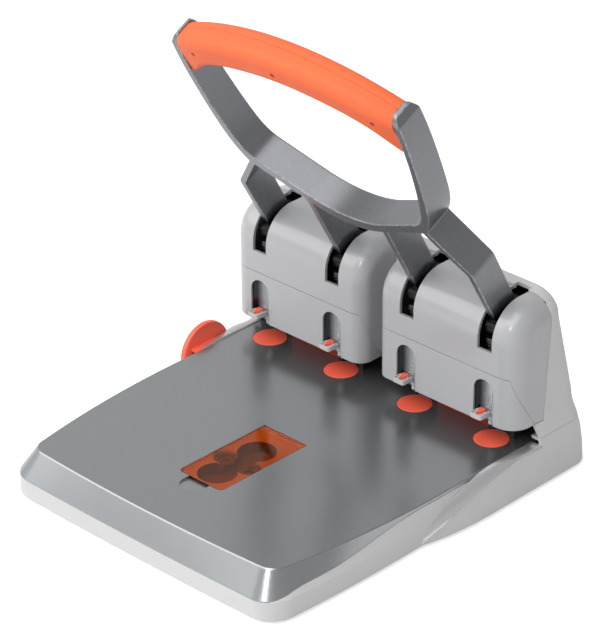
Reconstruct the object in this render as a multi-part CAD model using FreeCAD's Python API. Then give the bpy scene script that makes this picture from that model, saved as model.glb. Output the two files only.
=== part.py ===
import FreeCAD, Part
import math
import os

V = FreeCAD.Vector

# ---------------------------------------------------------------------------
# Heavy-duty lever punch for four holes.
# Frame: millimetres, +X to the right, +Y to the back, +Z up. The origin is on the
# desk, midway between the two ends and straight under the row of punch pins.
# ---------------------------------------------------------------------------

# Clearances
SEAM = 0.4                 # shadow gap between two casing parts
SLIDE_GAP = 0.3            # between parts that slide or swing past each other
FIT_GAP = 0.05             # radial, shaft in a bore
SEAT_GAP = 0.2             # loose fit of a part that is dropped into its seat

# Table, base and feet
TABLE_Z = 39.0             # top of the table
FEET_H = 3.0
WALL = 3.0                 # base and rear casing walls
PLATE_T = 2.8              # table plate
RIM_TOP = 19.0             # front seam between base rim and table cover
TABLE_REAR_Y = 28.0
BOTTOM_COVER_T = 2.5
STRIP_DEPTH = 20.0         # rubber strips, front to back
REAR_STRIP_HALF = 130.0
FRONT_STRIP_HALF = 112.0
FRONT_STRIP_Y = -236.0

# Punch stations
PITCH = 80.0               # hole pitch of four-hole filing
PIN_X = (-1.5 * PITCH, -0.5 * PITCH, 0.5 * PITCH, 1.5 * PITCH)
PAPER_STOP_Y = 12.0        # hole centre to paper edge
PAPER_STOP_T = 2.0
DISC_R = 14.15
DISC_T = 3.0
DIE_T = 9.0
DIE_FRONT_Y = -17.0
DIE_END = 18.0             # the die plate runs past the outermost pin by this much
DIE_HALF = PIN_X[-1] + DIE_END

# Plan outline of the front body
BODY_SIDE = 26.5           # outermost pin to the side of the body
BODY_HALF = PIN_X[-1] + BODY_SIDE
BODY_STRAIGHT_Y = -85.0    # the sides run straight from here to the back
FOOT_HALF_FRONT = 144.0    # rim: half width at the front corners
FOOT_HALF_MIDDLE = 147.3
FOOT_MIDDLE_Y = -175.0
FOOT_FRONT_Y = -269.5
FOOT_BOW = 1.5             # how far the front edge bows forward at the middle
FOOT_CORNER = 23.0
TOP_HALF_FRONT = 133.0     # table edge: half width at the front corners
TOP_HALF_MIDDLE = 143.8
TOP_MIDDLE_Y = -155.0
TOP_FRONT_Y = -258.5
TOP_BOW = 3.6
TOP_CORNER = 16.0
EDGE_BEVEL = 0.9           # small bevel round the table edge

# Wide rear body of the base
WIDE_BULGE = 9.5           # the wide body stands out by this much at each side
WIDE_HALF = BODY_HALF + WIDE_BULGE
WIDE_FRONT_Y = -120.0
WIDE_BACK_Y = 82.5
WIDE_CORNER = 20.0
BAND_LIP = 0.6             # the sweeping band stands out over the flat side by this much
BAND_SEAM_X = BODY_HALF + 0.3
DECK_Z = 46.0              # top of the wide body, where the rear housing stands
DECK_SEAM = 0.15
DECK_RIM = 7.0
COVER_CORNER = 23.0        # the bottom cover is rounder than the inside of the tray
COVER_EASE = 1.0           # and ends ahead of its sloping back wall
TOE_LOW_Y = 18.0           # front edge of wide body and housing: at the table
TOE_HIGH_Y = 13.0          # and under the heads

# Heads
HEAD_GAP = 16.0
HEAD_END = 32.0            # outermost pin to the outer end of a head
HEAD_OUTER_X = PIN_X[-1] + HEAD_END
HEAD_BOTTOM_Z = 58.5
HEAD_FRONT_Y = -11.0
HEAD_WALL = 2.6
HEAD_OUTER_R = 18.0        # rounding of the outer end
HEAD_INNER_R = 12.0        # rounding of the end beside the gap
HEAD_SEAM_Z = 102.7
REAR_PLANE_Y = 22.8        # joint between heads and rear housing, at deck level
REAR_PLANE_LEAN = 0.073    # it leans back by this much per millimetre of height
REAR_TOP_Z = 160.0
REAR_TOP_BACK_Y = 42.5     # back edge of the rear housing's flat top
REAR_TOP_R = 5.0           # rounding of that edge
REAR_CORNER = 15.0         # upright corners at the top
SLOT_W = 14.4
SLOT_BOTTOM_Z = 121.0
SLOT_BACK_Y = 36.0
WINDOW_W = 19.8
WINDOW_TOP_Z = 95.5

# Lever
PIVOT_Y = 19.0
PIVOT_Z = 128.5
HEAD_TOP_R = 30.0          # rounded top of the heads, about the pivot
LEAN = 28.6                # the lever leans forward by this angle at rest
TRAVEL = 45.0              # and swings down by this much
ARM_T = 5.2
ARM_BOSS_R = 11.0
SHAFT_R = 6.0
BUSH_R = 8.0
NOSE_REACH = 17.9          # pivot to the centre of the thrust pad
PAD_R = 5.5
LEVER_BACK = 14.3          # back edge of the casting behind the pivot line
LEVER_FRONT = 9.9          # front edge ahead of the pivot line, at its ends
LEVER_BULGE = 2.8          # the front edge bulges by this much half way up
GRIP_R = 290.0             # radius of the grip's upper line
GRIP_TOP = 272.0           # top of the grip above the pivot, at the middle
GRIP_HEIGHT = 29.0
GRIP_FRONT = 14.0          # front of the grip ahead of the pivot line, at the middle
GRIP_TOP_ROUND = 9.0
GRIP_PARTING = 1.8
GRIP_HALF = 109.5
GRIP_RIM = 0.8             # the casting's ends stand proud of the grip
CAP_ROUND = 9.5
CAP_SLOPE = 7.0            # the ends slope down over this width
CORE_T = 6.0
CORE_DEPTH = 14.0
CORE_INSET = 5.0           # below the grip's upper line
GRIP_SCREW_X = (-91.5, 0.0, 91.5)
GRIP_SCREW_DROP = 15.0     # screws below the grip's upper line
GRIP_SCREW_HEAD_R = 2.1
GRIP_SCREW_SHANK_R = 1.45
ARM_BEND = 6.0
STOP_ROD_R = 4.0
STOP_ROD_UP = 12.0         # stop rod, measured along the lever from the pivot

# Press frames
CHEEK_T = 4.0
CHEEK_GAP = 18.0           # clear width between two cheeks
CHEEK_BACK_Y = 41.0
BACK_PLATE_T = 5.0
FRAME_END = 8.0            # the back plate runs past its outer cheeks by this much
UPPER_GUIDE_Z = 97.0
UPPER_GUIDE_T = 6.0
LOWER_GUIDE_Z = 61.4
LOWER_GUIDE_T = 3.6
FOOT_FLANGE_T = 6.0
BOLT_R = 4.0
BOLT_HEAD_R = 6.5
BOLT_HEAD_H = 5.0

# Punch pins
PIN_R = 3.0
PIN_BORE_R = 2.0
PIN_TIP_LIFT = 14.0        # tip above the table at rest
PIN_BODY_R = 4.0
PIN_HEAD_R = 6.5
PIN_HEAD_T = 4.0
SPRING_R = 6.0
SPRING_WIRE = 1.6

# Latches in the windows
CARTRIDGE_CLEAR = 0.3      # extra room between the clear cover and the pin
TAB_HALF = 5.7
TAB_FRONT_Y = -20.5
TAB_T = 2.7
POINTER_R = 2.7
POINTER_T = 2.0

# Storage compartment
LID_HALF = 22.8
LID_NEAR_Y = -199.8
LID_FAR_Y = -105.8
LID_T = 2.5
LID_KNUCKLE_R = 1.4
LID_CORNER = 5.0
TRUNNION_R = 0.8
TRUNNION_L = 1.6
LID_HINGE_GAP = 0.5
NOTCH_R = 11.0
NOTCH_REACH = 17.0         # the finger notch runs out from the lid by this much
NOTCH_DEPTH = 2.0
STORE_DEPTH = 13.0
POCKET_R = 15.5
POCKET_DEPTH = 10.0
POCKET_Y = (-181.0, -137.5)
SCOOP_R = (10.0, 6.5, 3.5) # stepped finger scoops beside the pockets
SCOOP_X = 12.3

# Side stop
STOP_DISC_R = 26.0
STOP_DISC_T = 5.0
STOP_DISC_GAP = 1.0        # between the disc and the wide body
STOP_DISC_X = -(WIDE_HALF + BAND_LIP + STOP_DISC_GAP)
STOP_Y = -36.0
STOP_DISC_Z = 26.3
STOP_DISC_LOW_Z = 1.0      # the disc ends level, just above the desk
TONGUE_Y = -40.0
TONGUE_HALF = 14.0
TONGUE_T = 2.4
TONGUE_END_X = -55.0

# Sizes that follow ----------------------------------------------------------
PIVOT = V(0, PIVOT_Y, PIVOT_Z)
X_AXIS = V(1, 0, 0)
HALF_SWING = math.radians(TRAVEL / 2)
PAD_Y = PIVOT_Y - NOSE_REACH * math.cos(HALF_SWING)
PAD_Z = PIVOT_Z + NOSE_REACH * math.sin(HALF_SWING)
PIN_STROKE = 2 * NOSE_REACH * math.sin(HALF_SWING)
PIN_TIP_Z = TABLE_Z + PIN_TIP_LIFT
PIN_TOP_Z = PAD_Z - PAD_R - SLIDE_GAP
PIN_STEP_Z = LOWER_GUIDE_Z + LOWER_GUIDE_T + PIN_STROKE + SLIDE_GAP + 1.0
SPRING_BOTTOM_Z = UPPER_GUIDE_Z + UPPER_GUIDE_T
SPRING_TOP_Z = PIN_TOP_Z - PIN_HEAD_T
PLATE_BOTTOM_Z = TABLE_Z - PLATE_T
DIE_TOP_Z = TABLE_Z - DISC_T
DIE_BOTTOM_Z = DIE_TOP_Z - DIE_T
HEAD_INNER_X = HEAD_GAP / 2
FLOOR_Z = FEET_H
GRIP_CENTRE = GRIP_TOP - GRIP_R
CAP_TOP = GRIP_CENTRE + math.sqrt((GRIP_R + GRIP_RIM) ** 2 - GRIP_HALF ** 2)
GRIP_SWING = math.degrees(math.asin(GRIP_HALF / GRIP_R))
LID_AXIS_Y = LID_FAR_Y - LID_KNUCKLE_R
LID_AXIS_Z = TABLE_Z - LID_KNUCKLE_R


# Small tools ----------------------------------------------------------------
def box(x0, x1, y0, y1, z0, z1):
    return Part.makeBox(x1 - x0, y1 - y0, z1 - z0, V(x0, y0, z0))


def rod_x(radius, x0, x1, y, z):
    return Part.makeCylinder(radius, x1 - x0, V(x0, y, z), X_AXIS)


def rod_y(radius, x, y0, y1, z):
    return Part.makeCylinder(radius, y1 - y0, V(x, y0, z), V(0, 1, 0))


def rod_z(radius, x, y, z0, z1):
    return Part.makeCylinder(radius, z1 - z0, V(x, y, z0))


def line(a, b):
    return Part.LineSegment(a, b).toShape()


def arc(a, b, c):
    return Part.Arc(a, b, c).toShape()


def spline(points):
    curve = Part.BSplineCurve()
    curve.interpolate(points)
    return curve.toShape()


def polyline(points):
    return [line(a, b) for a, b in zip(points, points[1:])]


def prism(edges, direction):
    """Solid made by moving a closed outline along a direction."""
    return Part.Face(Part.Wire(edges)).extrude(direction)


def side_prism(points, x0, x1):
    """Solid whose section in side view is a polygon of (y, z) points."""
    corners = [V(x0, y, z) for y, z in points]
    return prism(polyline(corners + corners[:1]), V(x1 - x0, 0, 0))


def mirrored(shape):
    return shape.mirror(V(0, 0, 0), X_AXIS)


def moved(shape, dx, dy=0, dz=0):
    copy = shape.copy()
    copy.translate(V(dx, dy, dz))
    return copy


def rear_plane_y(z):
    """Where the heads end and the rear housing begins, at height z."""
    return REAR_PLANE_Y + REAR_PLANE_LEAN * (z - DECK_Z)


# Base -------------------------------------------------------------------------
def front_outline(half_front, half_middle, middle_y, front_y, bow, corner, z, inset, back_y):
    """Plan outline of the front body: bowed front, round corners, swelling sides."""
    radius = corner - inset
    centre_x = half_front - corner
    centre_y = front_y + bow + corner
    slant = radius * math.sqrt(0.5)
    start = V(centre_x + radius, centre_y, z)
    turn = V(centre_x + slant, centre_y - slant, z)
    end = V(centre_x, centre_y - radius, z)
    swell = V(half_middle - inset, middle_y, z)
    straight = V(BODY_HALF - inset, BODY_STRAIGHT_Y, z)
    back = V(BODY_HALF - inset, back_y, z)

    def left(p):
        return V(-p.x, p.y, p.z)

    return Part.Wire([
        line(back, straight),
        arc(straight, swell, start),
        arc(start, turn, end),
        arc(end, V(0, front_y + inset, z), left(end)),
        arc(left(end), left(turn), left(start)),
        arc(left(start), left(swell), left(straight)),
        line(left(straight), left(back)),
        line(left(back), back),
    ])


def foot_outline(z, inset, back_y):
    return front_outline(FOOT_HALF_FRONT, FOOT_HALF_MIDDLE, FOOT_MIDDLE_Y, FOOT_FRONT_Y,
                         FOOT_BOW, FOOT_CORNER, z, inset, back_y)


def table_outline(z, inset, back_y):
    return front_outline(TOP_HALF_FRONT, TOP_HALF_MIDDLE, TOP_MIDDLE_Y, TOP_FRONT_Y,
                         TOP_BOW, TOP_CORNER, z, inset, back_y)


def front_body(inset, bottom_z, top_z, back_y):
    """Upright rim, walls that slope in above it and a bevelled table edge."""
    sections = [
        foot_outline(bottom_z, inset, back_y),
        foot_outline(RIM_TOP, inset, back_y),
        table_outline(top_z - EDGE_BEVEL, inset, back_y),
        table_outline(top_z, inset + EDGE_BEVEL, back_y),
    ]
    return Part.makeLoft(sections, True, True)


def above_seam(drop):
    """Everything above the line where the table cover meets the base rim."""
    far = 400.0
    seam = [(-290.0, 18.8), (-264.0, 19.2), (-250.0, 22.4), (-207.0, 25.0),
            (-157.0, 31.4), (-125.0, 35.4), (-100.0, PLATE_BOTTOM_Z)]
    curve = [V(-far, y, z - drop) for y, z in seam]
    flat = V(-far, 60.0, PLATE_BOTTOM_Z - drop)
    high = V(-far, 60.0, far)
    front_high = V(-far, curve[0].y, far)
    edges = [spline(curve)] + polyline([curve[-1], flat, high, front_high, curve[0]])
    return prism(edges, V(2 * far, 0, 0))


def wide_outline(inset, z):
    """Plan outline of the floor of the wide rear body, which swells out of the front body."""
    half = WIDE_HALF - inset
    back_y = WIDE_BACK_Y - COVER_EASE
    back = back_y - inset
    radius = COVER_CORNER - inset
    centre_x = WIDE_HALF - COVER_CORNER
    centre_y = back_y - COVER_CORNER
    slant = radius * math.sqrt(0.5)
    start = V(BODY_HALF - 2.5 - inset, WIDE_FRONT_Y + inset, z)
    swell = [start, V(half - 5.5, -97.0, z), V(half - 1.0, -66.0, z), V(half, -40.0, z)]
    corner = V(half, centre_y, z)
    turn = V(centre_x + slant, centre_y + slant, z)
    end = V(centre_x, back, z)

    def left(p):
        return V(-p.x, p.y, p.z)

    return Part.Wire([
        spline(swell),
        line(swell[-1], corner),
        arc(corner, turn, end),
        line(end, left(end)),
        arc(left(end), left(turn), left(corner)),
        line(left(corner), left(swell[-1])),
        spline([left(p) for p in reversed(swell)]),
        line(left(start), start),
    ])


def toe_y(z):
    """Front edge of the wide body and the housing beside the paper throat, at height z."""
    share = (z - TABLE_Z) / (HEAD_BOTTOM_Z - TABLE_Z)
    return TOE_LOW_Y + share * (TOE_HIGH_Y - TOE_LOW_Y)


# y, half width short of the full one, upper and lower edge of the band along the wide body
BAND_STATIONS = ((-120.0, 12.0, 3.4, -2.0), (-108.0, 8.4, 12.2, 4.4), (-97.0, 5.5, 19.0, 11.3),
                 (-82.0, 2.8, 27.2, 18.9), (-66.0, 1.0, 33.4, 25.8), (-50.0, 0.2, 37.9, 31.2),
                 (-36.0, 0.0, 40.0, 34.5), (-20.0, 0.0, 40.3, 37.3), (-4.0, 0.0, 39.8, 38.7),
                 (TOE_LOW_Y, 0.0, 39.4, 38.8))


def band_section(y, short, upper, lower):
    """Cross-section of one side of the wide body: a rounded band with a lip over a flat side."""
    outer_x = WIDE_HALF - short
    inner_x = min(BAND_SEAM_X, outer_x - 2.5)
    core_x = inner_x - 2 * WALL
    top = V(inner_x, y, upper)
    lip = V(outer_x + BAND_LIP, y, lower)
    crown = V(0.45 * top.x + 0.55 * lip.x + 0.5, y, 0.45 * top.z + 0.55 * lip.z + 1.0)
    under = V(outer_x, y, lower - 1.2)
    edges = [arc(top, crown, lip)]
    edges += polyline([lip, under, V(outer_x, y, -4.0), V(core_x, y, -4.0), V(core_x, y, upper), top])
    return Part.Wire(edges)


def band_hollow(y, short, upper, lower):
    """Cross-section of the space behind that side, one wall inside it."""
    outer_x = WIDE_HALF - short - WALL
    inner_x = BODY_HALF - 3 * WALL
    corners = [V(inner_x, y, upper - WALL), V(BODY_HALF - WALL, y, upper - WALL),
               V(outer_x, y, lower - WALL), V(outer_x, y, -5.0), V(inner_x, y, -5.0)]
    return Part.Wire(polyline(corners + corners[:1]))


# height, back edge short of the full one: the back of the wide body slopes in
BACK_SECTIONS = ((-1.0, 0.0), (20.0, 1.8), (34.0, 4.7), (DECK_Z, 8.9))


def back_block(inset, front_y):
    """Rear part of the wide body, from the floor to the deck."""
    wires = []
    for z, short in BACK_SECTIONS:
        level = z if z < DECK_Z else z - inset
        wires.append(plan_outline(level, WIDE_HALF, WIDE_BACK_Y - short, WIDE_CORNER, inset, front_y))
    return Part.makeLoft(wires, True, True)


def wide_body():
    """Two sides with their sweeping bands, and the block that carries the rear housing."""
    side = Part.makeLoft([band_section(*station) for station in BAND_STATIONS], True, False)
    block = back_block(0, TOE_HIGH_Y)
    joint_y = TOE_LOW_Y - 1.0
    level = TABLE_Z - 1.0
    ahead = side_prism([(0, -5), (joint_y, -5), (joint_y, level), (toe_y(level), level),
                        (toe_y(DECK_Z + 5), DECK_Z + 5), (0, DECK_Z + 5)], -200, 200)
    return block.cut(ahead).fuse([side, mirrored(side)])


def wide_hollow():
    stations = [station for station in BAND_STATIONS if station[0] > -105.0]
    side = Part.makeLoft([band_hollow(*station) for station in stations], True, True)
    return [back_block(WALL, TOE_LOW_Y - 1.0), side, mirrored(side)]


def tray_ribs():
    """Cross walls and ribs that carry the die plate and stiffen the front."""
    cross_walls = [(DIE_FRONT_Y - 6.0, DIE_BOTTOM_Z), (CHEEK_BACK_Y + 6.0, DIE_BOTTOM_Z)]
    cross_walls.append((-216.0, RIM_TOP - 3.0))
    low = FLOOR_Z + BOTTOM_COVER_T
    ribs = [box(-170, 170, y, y + WALL, low, top) for y, top in cross_walls]
    for x in PIN_X:
        ribs.append(box(x - WALL / 2, x + WALL / 2, -290.0, CHEEK_BACK_Y + 8.0, low, RIM_TOP - 3.0))
        ribs.append(box(x - WALL / 2, x + WALL / 2, DIE_FRONT_Y - 5.0, CHEEK_BACK_Y + 8.0, low,
                        DIE_BOTTOM_Z))
    return ribs


BOSS_PLACES = [(side * PIN_X[-1], y) for side in (-1, 1) for y in (-228.0, -66.0)]
BOSS_R = 5.0
SCREW_R = 1.6


def make_base_tray():
    rim = front_body(0, FLOOR_Z, TABLE_Z, 60.0).cut(front_body(WALL, -1.0, TABLE_Z + 4.0, 57.0))
    rim = rim.cut(above_seam(SEAM))
    wide = wide_body().cut(wide_hollow()).cut(box(-200, 200, -200, 200, -5, FLOOR_Z))
    opening = Part.Face(table_outline(0, -SLIDE_GAP, TABLE_REAR_Y + SLIDE_GAP)).extrude(V(0, 0, 80))
    wide = wide.cut(opening.common(above_seam(SEAM)))
    hollow = front_body(WALL, -1.0, TABLE_Z + 4.0, TOE_LOW_Y + 1.0)
    hollow = hollow.common(box(-200, 200, WIDE_FRONT_Y - 8.0, 200, -1, 80))
    wide = wide.cut(hollow)
    deck_opening = box(-BODY_HALF + DECK_RIM, BODY_HALF - DECK_RIM, 0, WIDE_BACK_Y - 3 * DECK_RIM,
                       PLATE_BOTTOM_Z - 6.0, DECK_Z + 5.0)
    wide = wide.cut(deck_opening)
    rim = rim.cut(box(-200, 200, TOE_LOW_Y, 100, -1, 80))
    tray = rim.fuse(wide)
    inside = front_body(WALL - 1.0, -1.0, TABLE_Z + 4.0, 57.0)
    for rib in tray_ribs():
        tray = tray.fuse(rib.common(inside))
    for x, y in BOSS_PLACES:
        tray = tray.fuse(rod_z(BOSS_R, x, y, FLOOR_Z + BOTTOM_COVER_T, PLATE_BOTTOM_Z))
    tray = tray.cut(cover_form(WALL))
    for x, y in BOSS_PLACES:
        tray = tray.cut(rod_z(SCREW_R, x, y, 0, PLATE_BOTTOM_Z - 4.0))
    tongue_way = box(-200, -BODY_HALF + 8.0, TONGUE_Y - TONGUE_HALF - SLIDE_GAP,
                     TONGUE_Y + TONGUE_HALF + SLIDE_GAP,
                     PLATE_BOTTOM_Z - TONGUE_T - 3 * SLIDE_GAP, PLATE_BOTTOM_Z)
    return tray.cut(tongue_way).removeSplitter()


def make_table_cover():
    outer = front_body(0, FLOOR_Z, TABLE_Z, TABLE_REAR_Y)
    inner = front_body(PLATE_T, -1.0, PLATE_BOTTOM_Z, TABLE_REAR_Y + 5.0)
    cover = outer.cut(inner).common(above_seam(0))
    for x in PIN_X:
        cover = cover.cut(rod_z(DISC_R + SEAT_GAP, x, 0, 0, 80))
        for side in (-1, 1):
            edge = x + side * (CHEEK_GAP + CHEEK_T) / 2
            cover = cover.cut(box(edge - CHEEK_T / 2 - SEAM, edge + CHEEK_T / 2 + SEAM,
                                  PAPER_STOP_Y - SEAM, 60, 0, 80))
    cover = cover.cut(lid_opening())
    cover = cover.cut(finger_notch())
    for side in (-1, 1):
        x = side * LID_HALF
        reach = TRUNNION_L + SLIDE_GAP
        hole = rod_x(TRUNNION_R + FIT_GAP, min(x, x + side * reach), max(x, x + side * reach),
                     LID_AXIS_Y, LID_AXIS_Z)
        cover = cover.cut(hole)
    return cover.removeSplitter()


def finger_notch():
    """Half-round dish in front of the lid, deepest beside it."""
    centre_y = LID_NEAR_Y - NOTCH_REACH + NOTCH_R
    start_y = LID_NEAR_Y - NOTCH_REACH
    end_y = LID_NEAR_Y + 5.0
    low = TABLE_Z - NOTCH_DEPTH
    well = rod_z(NOTCH_R, 0, centre_y, 0, 80)
    well = well.fuse(box(-NOTCH_R, NOTCH_R, centre_y, end_y, 0, 80))
    dish = side_prism([(start_y, TABLE_Z - NOTCH_DEPTH / 3), (LID_NEAR_Y, low), (end_y, low),
                       (end_y, TABLE_Z + 5), (start_y, TABLE_Z + 5)], -2 * NOTCH_R, 2 * NOTCH_R)
    return well.common(dish)


def lid_outline(grow):
    """Plan of the lid: square at the hinge, round corners at the near edge."""
    half = LID_HALF + grow
    near = LID_NEAR_Y - grow
    slant = LID_CORNER * (1 - math.sqrt(0.5))
    a = V(half, near + LID_CORNER, 0)
    b = V(half - slant, near + slant, 0)
    c = V(half - LID_CORNER, near, 0)

    def left(p):
        return V(-p.x, p.y, p.z)

    return a, b, c, left(c), left(b), left(a)


def lid_opening():
    a, b, c, d, e, f = lid_outline(SLIDE_GAP)
    far = LID_FAR_Y + LID_HINGE_GAP
    edges = [arc(a, b, c), line(c, d), arc(d, e, f)]
    edges += polyline([f, V(f.x, far, 0), V(a.x, far, 0), a])
    return prism(edges, V(0, 0, 80))


def make_storage_lid():
    a, b, c, d, e, f = lid_outline(0)
    edges = [arc(a, b, c), line(c, d), arc(d, e, f)]
    edges += polyline([f, V(f.x, LID_AXIS_Y, 0), V(a.x, LID_AXIS_Y, 0), a])
    lid = prism(edges, V(0, 0, LID_T))
    lid = moved(lid, 0, 0, TABLE_Z - LID_T)
    lid = lid.cut(box(-30, 30, LID_AXIS_Y - 2.0, 0, 0, LID_AXIS_Z))
    lid = lid.fuse(rod_x(LID_KNUCKLE_R, -LID_HALF, LID_HALF, LID_AXIS_Y, LID_AXIS_Z))
    end = LID_HALF + TRUNNION_L
    lid = lid.fuse(rod_x(TRUNNION_R, -end, end, LID_AXIS_Y, LID_AXIS_Z))
    return lid.removeSplitter()


def make_storage_tray():
    """Compartment under the lid: two round pockets that run into each other."""
    side = 3.0
    top = PLATE_BOTTOM_Z
    tray = box(-LID_HALF - side, LID_HALF + side, LID_NEAR_Y - side, LID_FAR_Y + side,
               top - STORE_DEPTH, top)
    tray = tray.cut(rod_x(LID_KNUCKLE_R + SLIDE_GAP, -LID_HALF - SLIDE_GAP, LID_HALF + SLIDE_GAP,
                          LID_AXIS_Y, LID_AXIS_Z))
    for y in POCKET_Y:
        tray = tray.cut(rod_z(POCKET_R, 0, y, top - POCKET_DEPTH, top))
    waist_y = sum(POCKET_Y) / 2
    tray = tray.cut(box(-7, 7, waist_y - 12, waist_y + 12, top - POCKET_DEPTH, top))
    for side in (-1, 1):
        for step, radius in enumerate(SCOOP_R, start=1):
            tray = tray.cut(rod_z(radius, side * SCOOP_X, waist_y, top - 2.0 * step, top))
    return tray.removeSplitter()


def cover_form(inset):
    """The space of the bottom cover: a plate as wide as the inside of the tray."""
    up = V(0, 0, BOTTOM_COVER_T)
    plate = Part.Face(foot_outline(FLOOR_Z, inset, TOE_LOW_Y)).extrude(up)
    wide = Part.Face(wide_outline(inset, FLOOR_Z)).extrude(up)
    return plate.fuse(wide).removeSplitter()


def make_bottom_cover():
    return cover_form(WALL + SLIDE_GAP)


def make_rubber_strips():
    strips = []
    for half, y in ((REAR_STRIP_HALF, 0.0), (FRONT_STRIP_HALF, FRONT_STRIP_Y)):
        strip = box(-half, half, y - STRIP_DEPTH / 2, y + STRIP_DEPTH / 2, 0, FEET_H)
        upright = [e for e in strip.Edges if abs(e.tangentAt(e.FirstParameter).z) > 0.9]
        strips.append(strip.makeFillet(STRIP_DEPTH / 2 - 1.0, upright))
    return Part.makeCompound(strips)


def make_side_stop():
    """Round stop on a flat tongue that slides under the table."""
    disc = rod_x(STOP_DISC_R, STOP_DISC_X - STOP_DISC_T, STOP_DISC_X, STOP_Y, STOP_DISC_Z)
    disc = disc.makeFillet(1.2, disc.Edges)
    disc = disc.common(box(-300, 0, -200, 200, STOP_DISC_LOW_Z, 100))
    top = PLATE_BOTTOM_Z - SLIDE_GAP
    tongue = box(STOP_DISC_X - 1.0, TONGUE_END_X, TONGUE_Y - TONGUE_HALF, TONGUE_Y + TONGUE_HALF,
                 top - TONGUE_T, top)
    corners = [e for e in tongue.Edges
               if abs(e.tangentAt(e.FirstParameter).z) > 0.9 and e.CenterOfMass.x > TONGUE_END_X - 1]
    tongue = tongue.makeFillet(6.0, corners)
    return disc.fuse(tongue).removeSplitter()


# Die plate and press frames ---------------------------------------------------
def bolt_places():
    y = CHEEK_BACK_Y - 7.0 - BACK_PLATE_T + 3.0
    return [(x, y) for x in (-100.0, -60.0, 60.0, 100.0)]


def make_die_plate():
    plate = box(-DIE_HALF, DIE_HALF, DIE_FRONT_Y, CHEEK_BACK_Y, DIE_BOTTOM_Z, DIE_TOP_Z)
    for x, y in bolt_places():
        plate = plate.cut(rod_z(BOLT_R + SEAT_GAP, x, y, 0, 80))
    return plate


def make_frame_bolts():
    bolts = []
    for x, y in bolt_places():
        shank = rod_z(BOLT_R, x, y, DIE_BOTTOM_Z, DIE_TOP_Z + FOOT_FLANGE_T - 1.0)
        head = rod_z(BOLT_HEAD_R, x, y, DIE_BOTTOM_Z - BOLT_HEAD_H, DIE_BOTTOM_Z)
        bolts.append(shank.fuse(head).removeSplitter())
    return Part.makeCompound(bolts)


def make_paper_stops():
    """Bars between the cheeks that the sheets come up against."""
    reach = (PIN_X[3] - PIN_X[2]) / 2 - CHEEK_GAP / 2 - CHEEK_T - SLIDE_GAP
    middle = (PIN_X[3] + PIN_X[2]) / 2
    bar = box(middle - reach, middle + reach, PAPER_STOP_Y, PAPER_STOP_Y + PAPER_STOP_T,
              TABLE_Z + SEAT_GAP, HEAD_BOTTOM_Z - SLIDE_GAP)
    return Part.makeCompound([bar, mirrored(bar)])


def make_cutting_disc(x):
    disc = rod_z(DISC_R, x, 0, DIE_TOP_Z, TABLE_Z)
    top = [e for e in disc.Edges if abs(e.CenterOfMass.z - TABLE_Z) < 0.01 and len(e.Vertexes) == 1]
    return disc.makeChamfer(0.3, top)


def cheek(x):
    """Upright plate with an eye for the pivot shaft and an ear for the stop rod."""
    rod_y_, rod_z_ = stop_rod_place()
    eye_r = ARM_BOSS_R + 1.0
    plate = side_prism([(PAPER_STOP_Y, DIE_TOP_Z), (CHEEK_BACK_Y, DIE_TOP_Z),
                        (CHEEK_BACK_Y, PIVOT_Z), (rod_y_ + 7.0, rod_z_), (PIVOT_Y, PIVOT_Z + 8.0),
                        (PAPER_STOP_Y, PIVOT_Z)], x - CHEEK_T / 2, x + CHEEK_T / 2)
    plate = plate.fuse(rod_x(eye_r, x - CHEEK_T / 2, x + CHEEK_T / 2, PIVOT_Y, PIVOT_Z))
    plate = plate.fuse(rod_x(7.0, x - CHEEK_T / 2, x + CHEEK_T / 2, rod_y_, rod_z_))
    return plate


def stop_rod_place():
    """The rod stands behind the arms and touches their back edge at rest."""
    lean = math.radians(LEAN)
    behind = LEVER_BACK + SLIDE_GAP + STOP_ROD_R
    y = PIVOT_Y - STOP_ROD_UP * math.sin(lean) + behind * math.cos(lean)
    z = PIVOT_Z + STOP_ROD_UP * math.cos(lean) + behind * math.sin(lean)
    return y, z


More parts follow.
